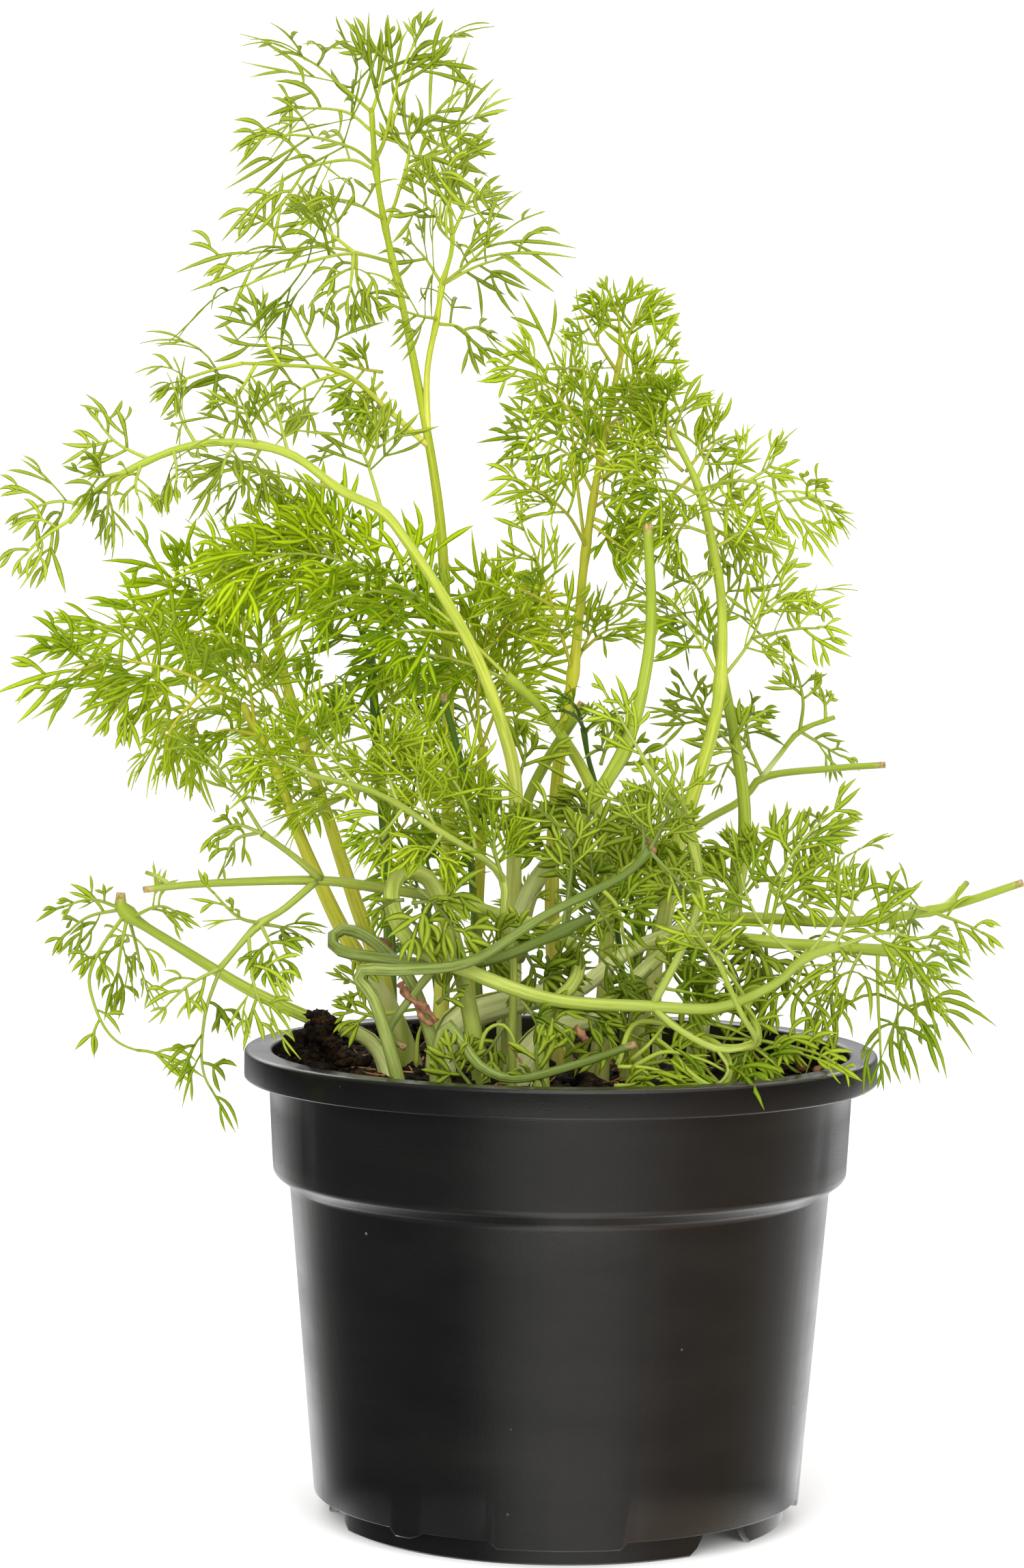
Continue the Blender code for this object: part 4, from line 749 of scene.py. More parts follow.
FRONDS["stem_cut_dark"] = {
    "look": "dark",
    "cut": (0,),
    "stems": [
        (0.8, 0.7, [(-15, 4, 83), (-17, 4, 108), (-19, 2, 136), (-20, 1, 150), (-25, 0, 169)]),
    ],
    "leaves": [],
}
FRONDS["stem_cut_pale"] = {
    "look": "green",
    "cut": (0,),
    "stems": [
        (1.2, 1.1, [(-12, 16, 84), (-12, 14, 114), (-9, 11, 138), (-6, 9, 150), (4, 8, 167)]),
    ],
    "leaves": [],
}
FRONDS["frond_dark_stalk"] = {
    "look": "dark",
    "stems": [
        (0.8, 0.5, [(13, 14, 84), (13, 13, 107), (11, 12, 124), (9, 9, 139), (7, 6, 149), (5, 5, 156),
            (4, 4, 162)]),
    ],
    "leaves": [
        (6, [(4, 4, 162), (2, -3, 165), (-2, -10, 166), (-6, -14, 164)]),
        (6, [(4, 4, 161), (7, -4, 164), (10, -20, 164), (12, -24, 161)]),
        (6, [(4, 4, 161), (2, -2, 167), (-4, -10, 171)]),
    ],
}
FRONDS["frond_seedling"] = {
    "look": "green",
    "stems": [
        (0.9, 0.6, [(32, -30, 86), (35, -30, 97), (39, -31, 102)]),
    ],
    "leaves": [
        (6, [(39, -31, 102), (46, -34, 101), (51, -39, 100), (57, -48, 97)]),
        (7, [(38, -31, 101), (36, -36, 99), (35, -40, 97)]),
        (7, [(38, -31, 101), (42, -28, 98), (46, -26, 96)]),
    ],
}

# The record's material slot of each frond
BRIGHT_FRONDS = (
    "frond_tall",
    "frond_arching",
    "frond_swept",
    "frond_left_front",
    "frond_centre_right",
    "frond_right",
    "frond_right_back",
    "frond_loop_front",
    "frond_cut_left",
    "frond_low_left",
    "frond_feathery",
    "frond_seedling",
)
DARK_FRONDS = (
    "frond_green_back",
    "frond_bushy_back",
    "frond_short_back",
    "stem_cut_dark",
    "frond_dark_stalk",
)
SLOT_OF = dict.fromkeys(FRONDS, "foliage_mid")
SLOT_OF.update(dict.fromkeys(BRIGHT_FRONDS, "foliage_bright"))
SLOT_OF.update(dict.fromkeys(DARK_FRONDS, "foliage_dark"))

# Small leaves among the feet of the stems, where the photograph shows them: (longest lobe, route)
UNDERGROWTH = {}
UNDERGROWTH["grey"] = [
    (8, [(-3.3, -44, 92.9), (-5.3, -46, 99.8), (-4, -46, 106.5)]),
    (8, [(-18, -44, 94.1), (-20.9, -46, 98.3), (-22.7, -46, 103.6)]),
    (9, [(-5, -18, 138.4), (-7.1, -20, 142.6), (-9.9, -22, 148.2)]),
    (9, [(1.2, -18, 137.7), (-5, -20, 139.9), (-10.5, -22, 141.8)]),
    (10, [(8, -16, 144.6), (3.2, -18, 147.1), (-3, -20, 146.1)]),
    (10, [(6.2, -26, 128.9), (5.3, -27, 137.1), (4.6, -28, 145.3), (5.6, -28, 152.1)]),
    (10, [(18.3, -18, 139.3), (14.1, -19, 144.1), (10.6, -20, 150.3)]),
    (9, [(18, -18, 139.8), (20.7, -19, 144.9), (23.6, -20, 148.8)]),
    (10, [(-7.5, -26, 118.5), (-5.5, -28, 113.9), (-6.8, -28, 108.5)]),
    (9, [(-3.4, -26, 117.8), (-0.4, -28, 113.7), (1, -28, 109.6)]),
    (9, [(-17.1, -20, 122.6), (-15, -22, 117.3), (-10.9, -22, 113.5)]),
    (9, [(28.9, -16, 120.6), (34.4, -18, 118.5), (39.2, -18, 117.8)]),
    (9, [(0.7, -12, 130.4), (2.7, -12, 135.6), (1.9, -12, 140.8)]),
    (9, [(-11.5, -36, 105.3), (-14.8, -38, 100.1), (-18.1, -40, 97.6)]),
    (9, [(6.1, -34, 105.2), (7.4, -36, 100.7), (4.7, -38, 97.6)]),
    (8, [(-31.5, -41, 130.1), (-34.9, -42, 129.6), (-36.7, -42, 126.5)]),
    (9, [(-29.9, -43, 129.7), (-25, -44, 129.9), (-20.7, -44, 126.8)]),
    (10, [(-28.8, -42, 132.6), (-23.9, -45, 128.2), (-21.2, -46, 123.4), (-21.1, -45, 118.2)]),
    (8, [(-30.3, -43, 126.6), (-26.5, -44, 123.2), (-24.9, -44, 119.4)]),
    (9, [(-8.6, -42, 111.1), (-5.9, -43, 107.5), (-3.9, -43, 102.1)]),
    (8, [(-7.2, -42, 108.7), (-1.9, -43, 106.9), (2.2, -42, 104.5)]),
    (8, [(2.6, -40, 108.6), (5.7, -41, 107.1), (10, -40, 106)]),
    (8, [(-17, -34, 118.5), (-11, -35, 122.5), (-3.6, -36, 125.3)]),
    (8, [(-24.9, -36, 109.2), (-22.3, -37, 112), (-21.2, -37, 114.5)]),
    (9, [(-4.8, -30, 112.8), (-0.8, -31, 116.7), (1.6, -31, 121.1)]),
    (9, [(7.5, -25, 112.4), (11, -26, 108.4), (12.4, -26, 104.3)]),
    (8, [(17.8, -22, 114.9), (13.7, -23, 110.9), (10.3, -23, 109.2)]),
    (9, [(14.9, -20, 131.2), (10.8, -21, 134.6), (7.3, -21, 139.4)]),
    (10, [(7.4, -24, 124.6), (4.6, -25, 131.5), (5.6, -25, 137.6)]),
    (9, [(25.4, -18, 120.1), (30.9, -19, 114.7), (35.8, -20, 108), (36.2, -21, 103.3)]),
    (9, [(26.8, -15, 126.7), (21.9, -16, 132.3), (19.1, -16, 136.1)]),
    (9, [(40.5, -18, 122.3), (38.5, -19, 117.6), (38.1, -19, 112.1)]),
]
UNDERGROWTH["bright"] = [
    (10, [(37.7, 14, 155.6), (33.2, 10, 160.1), (28.7, 6, 165.8)]),
    (9, [(49, 10, 138.2), (52.9, 6, 141.4), (58.2, 2, 143.8)]),
    (10, [(39.2, -14, 130.9), (36.3, -15, 137.2), (32.4, -16, 142.7)]),
    (9, [(-17.4, -6, 136.6), (-18.8, -8, 141.6), (-17.5, -8, 146.5)]),
    (9, [(-14.6, -6, 138.1), (-12.6, -8, 143.8), (-13.3, -8, 148.7)]),
    (9, [(-9.2, -2, 151.8), (-7.9, -4, 157.5), (-9.3, -4, 163.1)]),
    (9, [(7.6, 2, 154.6), (8.9, 0, 160.3), (8.1, 0, 165.9)]),
    (9, [(10.4, 2, 151.8), (13.8, 0, 157.5), (14.4, 0, 163.2)]),
    (9, [(18.6, -20, 112), (21.9, -22, 115.6), (26.7, -22, 117.8)]),
    (9, [(10.2, -30, 104.8), (14.9, -32, 102.3), (20.3, -34, 101.3)]),
    (11, [(5.6, -32, 125.1), (11.9, -34, 128.3), (18.2, -34, 131)]),
    (9, [(7.3, -28, 127.7), (10, -29, 129.4), (10.6, -29, 131.9)]),
    (11, [(36, -12, 124.5), (35.5, -12, 132.1), (33.7, -12, 139), (35.7, -12, 142.5)]),
    (12, [(40.6, -16, 124.9), (42.5, -16, 132.5), (48.6, -16, 140.2), (55.7, -16, 144.4)]),
    (10, [(49, -14, 126.9), (48.8, -14, 134.5), (51.5, -14, 140)]),
    (10, [(47.3, -18, 127.2), (52.1, -18, 130.7), (58.9, -18, 133.1)]),
    (10, [(37.6, -20, 128.7), (30.7, -20, 131.3), (25.2, -20, 131.6)]),
    (10, [(41.6, -20, 131.5), (46.5, -20, 129), (51.9, -20, 128.1)]),
    (11, [(32.6, -8, 131.7), (25.6, -8, 135.6), (20.8, -8, 137.2)]),
    (10, [(18.3, -26, 118.1), (25.1, -27, 114.8), (31.2, -27, 114.5)]),
    (9, [(18.3, -30, 112.4), (23.6, -31, 111.6), (30.4, -31, 110.5)]),
    (9, [(23.8, -28, 107.4), (27.9, -29, 106.2), (33.9, -29, 107.9)]),
    (8, [(-41.5, -27, 117.6), (-39.5, -28, 114.3), (-38.6, -28, 110.6)]),
    (7, [(-37.7, -24, 109.8), (-41.6, -24, 111.8), (-45.4, -24, 113.4)]),
    (6, [(-37.1, -24, 105), (-42.2, -24, 106.3), (-44.5, -24, 107.6)]),
    (10, [(25.1, -30, 103.6), (31.8, -32, 102.5), (39.8, -34, 102.2), (47.8, -36, 99.8), (56, -36, 96.2)]),
    (9, [(35.8, -34, 102.1), (39.7, -36, 99.7), (43.7, -38, 96.3)]),
    (8, [(36.4, -36, 101), (35.4, -37, 97.8), (35.9, -38, 95.2)]),
    (9, [(15.4, -42, 98.2), (21.3, -43, 99.4), (27.3, -44, 99.1)]),
    (8, [(13.9, -46, 98.7), (18.6, -47, 96.2), (24.5, -48, 95.3)]),
    (8, [(9.9, -50, 95.2), (13.1, -51, 95.6), (15.8, -51, 96.7)]),
]
UNDERGROWTH["fine"] = [
    (8, [(-29.8, -8, 125.5), (-31.2, -8, 131.8), (-30.6, -8, 137.4)]),
    (8, [(-36.7, -6, 116.9), (-38.8, -6, 119.7), (-37.9, -6, 123.2)]),
    (8, [(-17.4, -2, 129.3), (-21.6, -2, 133.5), (-23.7, -2, 138.4)]),
    (9, [(10.7, 2, 125), (9.3, 2, 131.4), (9.9, 2, 137.7)]),
    (9, [(15, 2, 122.3), (15.6, 2, 130.7), (14.8, 2, 138.5)]),
    (9, [(10.9, 4, 115), (8, 4, 119.2), (6.6, 4, 124.8)]),
    (9, [(15.2, 4, 112.2), (17.2, 4, 117.9), (16.4, 4, 123.5)]),
    (8, [(19.5, 4, 105.1), (15.9, 4, 109.4), (14.4, 4, 115)]),
    (8, [(-14.4, 4, 111.9), (-15.2, 4, 117.5), (-13.1, 4, 121.8)]),
    (8, [(-6.1, 4, 120.4), (-8.2, 4, 126.1), (-6.9, 4, 130.3)]),
    (8, [(11.5, 8, 133), (14.3, 8, 138.7), (13.5, 8, 144.4)]),
    (8, [(16.4, 8, 135.9), (17.8, 8, 141.6), (16.3, 8, 146.5)]),
    (9, [(-37.2, 2, 138.6), (-34.4, 2, 144.3), (-35.1, 2, 149.9)]),
    (9, [(-28.8, 4, 140), (-26, 4, 146.4), (-26.8, 4, 152.7)]),
    (9, [(-20.4, 4, 142.9), (-19, 4, 150), (-20.5, 4, 156.3)]),
    (9, [(-33.2, 6, 155.3), (-30.4, 6, 161), (-31.9, 6, 166.6)]),
    (9, [(-37.5, 8, 162.3), (-35.5, 8, 167.9), (-36.2, 8, 173.6)]),
]
UNDERGROWTH["thick"] = [
    (11, [(23.9, 8, 215), (18.1, 4, 220.4), (13.7, 0, 225.9)]),
    (11, [(25.3, 8, 213.6), (20.2, 0, 208.6), (15.1, -6, 205)]),
    (11, [(26.1, 8, 210.8), (32.7, 14, 208.1), (38.6, 18, 208.9)]),
    (10, [(24.6, 8, 215), (29.7, 14, 220.8), (34.1, 18, 222.3)]),
    (11, [(21, 8, 219.8), (20.1, 4, 227.4), (17.8, 0, 234.2)]),
    (10, [(26.7, 6, 208), (21.7, 0, 200.9), (16.7, -4, 195.3)]),
    (10, [(28.1, 6, 205.2), (34, 10, 201), (38.4, 12, 199.7)]),
    (10, [(7.1, 10, 213.4), (13.2, 4, 217.6), (17.9, 0, 221.7)]),
    (10, [(6.4, 10, 210.6), (12.7, 6, 208.5), (16.7, 2, 210.6)]),
    (10, [(5.8, 10, 203.6), (11.3, 4, 199.4), (16.8, 0, 196.7)]),
    (10, [(5.8, 10, 205), (12.1, 8, 202.9), (16.2, 4, 205)]),
    (10, [(9.7, 8, 221.8), (4, 4, 228.6), (-0.3, 0, 232.6)]),
    (10, [(10.4, 8, 227.4), (15.8, 2, 232.9), (17.7, 0, 238.4)]),
    (10, [(10.4, 8, 224.6), (15.4, 12, 226.2), (21.1, 14, 227.7)]),
    (9, [(7.7, 8, 216.2), (2.6, 2, 220.2), (-3, -2, 221.5)]),
]
UNDERGROWTH["left"] = [
    (11, [(-56.7, -2, 158.3), (-59.2, -8, 162.8), (-60.1, -12, 167.1)]),
    (11, [(-53.9, -2, 154.2), (-51.6, -8, 160.1), (-49.3, -12, 165.8)]),
    (11, [(-62.6, 2, 159.5), (-60.1, -4, 154.2), (-59.1, -8, 148.9)]),
    (10, [(-52.6, 0, 148.4), (-55, -6, 146), (-59, -10, 145.5)]),
    (10, [(-42.9, 4, 145.5), (-41.4, 0, 151.4), (-39.3, -2, 157.1)]),
    (10, [(-37.2, 4, 137.1), (-32.9, 0, 141.6), (-30.1, -2, 147.4)]),
    (10, [(-31.8, 6, 153.9), (-27.5, 2, 158.4), (-24.7, 0, 162.7)]),
    (10, [(-24.6, 6, 145.5), (-21.1, 2, 151.5), (-19.1, 0, 157.2)]),
    (10, [(-38.3, 12, 232.7), (-42.2, 6, 228.2), (-46.2, 2, 223.9)]),
    (10, [(-38.3, 12, 234.8), (-42.4, 8, 235.3), (-47.1, 4, 236.5)]),
    (9, [(-37.5, 12, 230.6), (-40.1, 6, 225.5), (-40.7, 2, 222.6)]),
]
UNDERGROWTH["back"] = [
    (10, [(18.7, 30, 121.2), (15.7, 28, 128.6), (14.8, 26, 136)]),
    (10, [(17.2, 30, 122.6), (20, 28, 130.1), (21.3, 26, 137.5)]),
    (10, [(15.8, 30, 118.2), (12.1, 28, 125.6), (11.2, 26, 133)]),
    (10, [(18.7, 30, 118.3), (22.2, 28, 122.8), (23.5, 26, 128.8)]),
    (10, [(17.2, 32, 126.8), (15.6, 30, 135.7), (16.2, 28, 143.1)]),
]

# Thin stalks curled on the soil and between the stems: (radius, route)
STRANDS = [
    (0.55, [(21.4, -22, 151.9), (24.9, -23, 145.2), (27, -24, 137.1), (26.6, -26, 130.4),
        (24.3, -28, 122.4), (20.9, -30, 114.4), (18, -32, 108.1)]),
    (0.5, [(-3.5, -30, 123.4), (0.5, -29, 126.4), (5.9, -27, 130.3), (11.3, -25, 135), (16.8, -24, 138.6)]),
    (0.6, [(10.7, -40, 97.9), (14, -38, 105.8), (22.1, -38, 105.2), (31.6, -38, 101.2), (38.3, -37, 101.8),
        (37.7, -35, 107), (31.6, -33, 113.5)]),
    (0.45, [(25.3, -22, 120.5), (32, -24, 118), (34.7, -26, 111.4), (33.4, -28, 104.8), (31.3, -30, 99.5)]),
    (0.75, [(18, -32, 108.1), (24.2, -36, 104), (30.1, -39, 102.3), (32.4, -43, 99.2), (32, -47, 96.1),
        (29.1, -49, 95), (24.5, -48, 97.7), (21.3, -44, 101.2), (17.4, -40, 104)]),
    (0.6, [(29.5, -39, 101.7), (34.8, -40, 101.9), (38.2, -38, 103.6), (37.1, -34, 107.2),
        (35.2, -30, 111.8), (31.3, -26, 116.8), (26.3, -22, 121.6)]),
    (0.5, [(14, -44, 98.4), (19.9, -46, 101.4), (27.1, -47, 100), (31.4, -47, 97.9)]),
    (0.5, [(13.3, -42, 99.2), (16.6, -42, 102.2), (20, -40, 106.1)]),
    (0.45, [(10.6, -46, 98.4), (16.5, -47, 98.3), (23.2, -48, 96.6)]),
    (0.5, [(23.8, -30, 104.2), (27.5, -40, 98.1), (31, -46, 94.8)]),
    (0.45, [(22.3, -34, 103.3), (26.3, -34, 105.7), (32.4, -34, 104.8), (37.1, -34, 102.8)]),
    (0.45, [(-16.7, -40, 99.2), (-15.2, -40, 104.3), (-12.1, -40, 105.7), (-9.8, -41, 103.2),
        (-9.2, -42, 99.5)]),
    (0.5, [(-28.9, -34, 96.7), (-28.7, -34, 102.1), (-27.4, -34, 106.2)]),
    (0.5, [(-37.6, -28, 105.7), (-33.2, -30, 106.8), (-27.1, -31, 107.8)]),
    (0.5, [(23.4, -26, 145.4), (26.4, -28, 138.8), (27, -29, 132.1), (24.9, -30, 124)]),
    (0.45, [(7.1, -34, 132.3), (10.5, -35, 128.4), (11.9, -35, 121.6), (14.1, -34, 113.4)]),
]

# Dried brown bits between the stems: (radius, route)
DRY_BITS = [
    (0.9, [(-32.2, -38, 113.4), (-30.3, -39, 110.5), (-27.3, -39, 108.7), (-24.9, -39, 106)]),
    (0.7, [(-30, -38, 111.8), (-27.8, -39, 106.8), (-25.7, -39, 105.5)]),
    (0.6, [(-38.8, -27, 121.4), (-36.6, -27, 120.9), (-34.2, -27, 119.5)]),
    (0.8, [(2.2, -42, 105.6), (3.5, -42, 104.2), (4.3, -42, 102.9)]),
    (0.8, [(16.5, -22, 140.7), (17.5, -22, 139.6), (17.9, -22, 138.2)]),
    (0.28, [(-10.7, -42, 102.1), (-8, -43, 98.3), (-5.7, -44, 94.9)]),
    (1.0, [(46.2, -24, 99.5), (47.3, -24, 96.9), (48.4, -24, 95.1)]),
    (0.7, [(49.9, -30, 95.7), (51.5, -30, 96.8), (52.9, -30, 97.6)]),
]


# Node materials


def add_node(tree, kind, values=None, **settings):
    """A new node with its settings, and with each input linked or set."""
    made = tree.nodes.new("ShaderNode" + kind)
    for key, value in settings.items():
        setattr(made, key, value)
    for key, value in (values or {}).items():
        if isinstance(value, bpy.types.NodeSocket):
            tree.links.new(value, made.inputs[key])
        else:
            made.inputs[key].default_value = value
    return made


def add_ramp(tree, factor, stops):
    """A colour or grey ramp from (position, colour) stops."""
    made = add_node(tree, "ValToRGB", {"Fac": factor})
    elements = made.color_ramp.elements
    while len(elements) < len(stops):
        elements.new(0.5)
    for element, (position, colour) in zip(elements, stops):
        element.position = position
        if isinstance(colour, (int, float)):
            colour = (colour, colour, colour)
        element.color = (*colour, 1.0)
    return made.outputs["Color"]


class Shader:
    """A short way to build a material's nodes."""

    def __init__(self, name):
        self.material = bpy.data.materials.new(name)
        self.material.use_nodes = True
        self.tree = self.material.node_tree
        self.surface = self.tree.nodes["Principled BSDF"]
        self.output = self.tree.nodes["Material Output"]

    def node(self, kind, values=None, **settings):
        return add_node(self.tree, kind, values, **settings)

    def attribute(self, name):
        """A vector attribute, whole and in its three parts."""
        found = self.node("Attribute", attribute_name=name).outputs["Vector"]
        return found, self.node("SeparateXYZ", {0: found}).outputs

    def noise(self, vector, scale, detail=3.0, roughness=0.55):
        values = {"Vector": vector, "Scale": scale, "Detail": detail, "Roughness": roughness}
        return self.node("TexNoise", values).outputs["Fac"]

    def ramp(self, factor, *stops):
        return add_ramp(self.tree, factor, stops)

    def mix(self, factor, first, second, blend="MIX"):
        made = self.node("MixRGB", blend_type=blend)
        for key, value in zip(("Fac", "Color1", "Color2"), (factor, first, second)):
            if isinstance(value, bpy.types.NodeSocket):
                self.link(value, made.inputs[key])
            elif key == "Fac":
                made.inputs[key].default_value = value
            else:
                made.inputs[key].default_value = (*value, 1.0)
        return made.outputs["Color"]

    def math(self, operation, first, second=0.0, third=0.0):
        return self.node("Math", {0: first, 1: second, 2: third}, operation=operation).outputs[0]

    def objects(self, scale=(1, 1, 1)):
        """Places on the object itself, stretched by a scale."""
        found = self.node("TexCoord").outputs["Object"]
        return self.node("Mapping", {"Vector": found, "Scale": scale}).outputs["Vector"]

    def link(self, source, target):
        self.tree.links.new(source, target)

    def paint(self, colour):
        self.link(colour, self.surface.inputs["Base Color"])

    def bump(self, height, distance, strength):
        made = self.node("Bump", {"Height": height, "Distance": distance, "Strength": strength})
        self.link(made.outputs["Normal"], self.surface.inputs["Normal"])

    def set(self, **values):
        """Sets the surface's sockets by name, with _ for a space."""
        for key, value in values.items():
            self.surface.inputs[key.replace("_", " ")].default_value = value

    def let_light_through(self, share, colour):
        """Mixes some translucent light into the surface."""
        through = self.node("BsdfTranslucent", {"Color": colour})
        mixed = self.node("MixShader", {0: share, 1: self.surface.outputs[0], 2: through.outputs[0]})
        self.link(mixed.outputs[0], self.output.inputs["Surface"])


def leaf_material(name, shade, light, through, share):
    """Thread leaves: each thread has its own green, set at random between a painted shaded and a painted lit
    green, with painted shade darkening its edges, and it is paler to its tip.
    """
    made = Shader(name)
    _, (across, along, own) = made.attribute("tone")
    mottled = made.noise(made.objects(), scale=220.0)
    tone = made.math("MULTIPLY_ADD", own, 0.75, made.math("MULTIPLY", mottled, 0.3))
    # Painted shade and painted light: the tone picks each thread's green between the shaded and the lit
    # green
    green = made.ramp(tone, (0.12, shade), (0.85, light))
    # Painted shade: each thread is darker towards its edges
    edge = made.ramp(across, (0.0, 0.55), (0.6, 1.0))
    green = made.mix(1.0, green, edge, "MULTIPLY")
    paler = made.math("MULTIPLY", made.math("POWER", along, 3.0), 0.35)
    made.paint(made.mix(paler, green, light))
    made.set(Roughness=0.45, Specular_IOR_Level=0.16)
    made.bump(made.noise(made.objects(), scale=900.0), distance=0.0002, strength=0.5)
    made.let_light_through(share, made.mix(tone, through, light))
    return made.material


def stem_material(name, base, shade, light, roughness):
    """Ribbed stems: fine stripes along their length, painted shade in their grooves, paler at the root, with
    tan cut ends.
    """
    tan, brown = (0.62, 0.42, 0.2), (0.16, 0.07, 0.03)
    made = Shader(name)
    girth, _ = made.attribute("girth")
    _, (up, cut, ribs) = made.attribute("tone")
    stripes = made.noise(girth, scale=2.6, detail=4.0, roughness=0.6)
    striped = made.ramp(stripes, (0.36, shade), (0.60, light))
    flecks = made.ramp(made.noise(made.objects(), scale=300.0), (0.45, 0.0), (0.75, 0.35))
    flecked = made.mix(flecks, striped, light)
    # Painted shade: the groove between each pair of ribs is darkened towards the shade colour
    groove_shaded = made.mix(made.math("MULTIPLY", ribs, 0.35), flecked, shade)
    greener = made.mix(made.ramp(up, (0.35, 0.0), (0.9, 0.85)), groove_shaded, shade)
    root = made.mix(made.ramp(stripes, (0.34, 0.35), (0.58, 0.0)), base, shade)
    rooted = made.mix(made.ramp(up, (0.0, 0.92), (0.42, 0.0)), greener, root)
    torn = made.ramp(made.noise(made.objects(), scale=1400.0), (0.35, brown), (0.7, tan))
    made.paint(made.mix(cut, rooted, torn))
    made.set(Roughness=roughness, Specular_IOR_Level=0.45)
    made.bump(stripes, distance=0.0004, strength=0.5)
    made.let_light_through(0.22, made.mix(0.5, rooted, light))
    return made.material


def sheath_material():
    """Thin pale skin with green veins, which lets light through."""
    green, pale, white = (0.36, 0.44, 0.06), (0.62, 0.64, 0.20), (0.74, 0.74, 0.44)
    made = Shader("sheath")
    _, (up, _, _) = made.attribute("tone")
    veins = made.noise(made.objects((1, 1, 0.12)), scale=420.0)
    veined = made.ramp(veins, (0.38, green), (0.62, pale))
    made.paint(made.mix(made.ramp(up, (0.45, 0.0), (1.0, 0.6)), veined, white))
    made.set(Roughness=0.38, Specular_IOR_Level=0.5)
    made.bump(veins, distance=0.0003, strength=0.5)
    made.let_light_through(0.4, (0.70, 0.74, 0.36, 1.0))
    return made.material


def pot_material():
    """Black satin plastic with faint streaks, smudges, dust specks and fine scratches."""
    black, worn, dust = (0.0022, 0.0022, 0.0026), (0.0050, 0.0047, 0.0042), (0.22, 0.18, 0.13)
    made = Shader("black_plastic")
    place = made.objects()
    smudge = made.noise(made.objects((9, 9, 30)), scale=3.0, detail=4.0)
    streaks = made.noise(made.objects((90, 90, 3)), scale=2.0)
    scratches = made.noise(place, scale=2600.0, detail=1.0)
    cells = made.node("TexVoronoi", {"Vector": place, "Scale": 210.0, "Randomness": 1.0}).outputs
    near = made.ramp(cells["Distance"], (0.045, 1.0), (0.075, 0.0))
    rare = made.ramp(made.node("SeparateColor", {0: cells["Color"]}).outputs[0], (0.90, 0.0), (0.92, 1.0))
    specks = made.math("MULTIPLY", made.math("MULTIPLY", near, rare), 0.5)
    made.paint(made.mix(specks, made.ramp(smudge, (0.3, black), (0.75, worn)), dust))
    rough = made.math("MULTIPLY_ADD", streaks, 0.10, made.math("MULTIPLY_ADD", smudge, 0.20, 0.11))
    made.link(rough, made.surface.inputs["Roughness"])
    made.set(Specular_IOR_Level=0.5)
    height = made.math("MULTIPLY_ADD", streaks, 0.6, made.math("MULTIPLY", scratches, 0.25))
    made.bump(height, distance=0.00016, strength=0.45)
    return made.material


def peat_material():
    """Moist dark peat with a few lighter bits."""
    black, brown = (0.0025, 0.0016, 0.001), (0.014, 0.007, 0.0035)
    dry, bit = (0.085, 0.042, 0.018), (0.16, 0.08, 0.03)
    made = Shader("peat")
    place = made.objects()
    coarse = made.noise(place, scale=260.0, detail=5.0, roughness=0.7)
    fine = made.noise(place, scale=1500.0, detail=3.0, roughness=0.7)
    peat = made.ramp(coarse, (0.36, black), (0.54, brown), (0.74, dry))
    made.paint(made.mix(made.ramp(fine, (0.66, 0.0), (0.74, 0.8)), peat, bit))
    made.set(Roughness=0.93, Specular_IOR_Level=0.25)
    made.bump(made.math("ADD", coarse, fine), distance=0.0012, strength=0.9)
    return made.material


def mottled_material(name, dark, light):
    """Fibres, bark and other dry bits."""
    made = Shader(name)
    mottled = made.noise(made.objects(), scale=500.0, detail=4.0, roughness=0.65)
    made.paint(made.ramp(mottled, (0.32, dark), (0.68, light)))
    made.set(Roughness=0.7, Specular_IOR_Level=0.3)
    made.bump(mottled, distance=0.0003, strength=0.7)
    return made.material


# Meshes


class Shape:
    """Gathers the closed bodies of one object.

    A face has four corners, and one that names a corner twice has three.
    """

    def __init__(self):
        self.points, self.faces, self.tones, self.girths, self.slots = [], [], [], [], []
        self.count = 0

    def add(self, points, faces, tone, girth=None, slot=0):
        self.points.append(points)
        self.faces.append(np.asarray(faces) + self.count)
        self.tones.append(np.broadcast_to(tone, points.shape))
        self.girths.append(np.zeros_like(points) if girth is None else girth)
        self.slots.append(np.full(len(faces), slot))
        self.count += len(points)

    def build(self, name, materials):
        mesh = bpy.data.meshes.new(name)
        corners = [tuple(dict.fromkeys(face)) for face in np.concatenate(self.faces).tolist()]
        mesh.from_pydata((np.concatenate(self.points) * MM).tolist(), [], corners)
        for key, values in (("tone", self.tones), ("girth", self.girths)):
            made = mesh.attributes.new(key, "FLOAT_VECTOR", "POINT")
            made.data.foreach_set("vector", np.concatenate(values).astype(np.float32).ravel())
        for material in materials:
            mesh.materials.append(material)
        mesh.polygons.foreach_set("material_index", np.concatenate(self.slots).astype(np.int32))
        mesh.polygons.foreach_set("use_smooth", np.full(len(corners), True))
        mesh.validate()
        return in_scene(name, mesh)


def in_scene(name, data):
    """A new object that is part of the scene."""
    made = bpy.data.objects.new(name, data)
    bpy.context.scene.collection.objects.link(made)
    return made


def unit(vectors):
    """The vectors at length one."""
    return vectors / np.maximum(np.linalg.norm(vectors, axis=-1, keepdims=True), 1e-9)


def at_turn(turn, radius):
    """The place at a turn and a distance from the pot's axis."""
    return radius * math.cos(turn), radius * math.sin(turn)


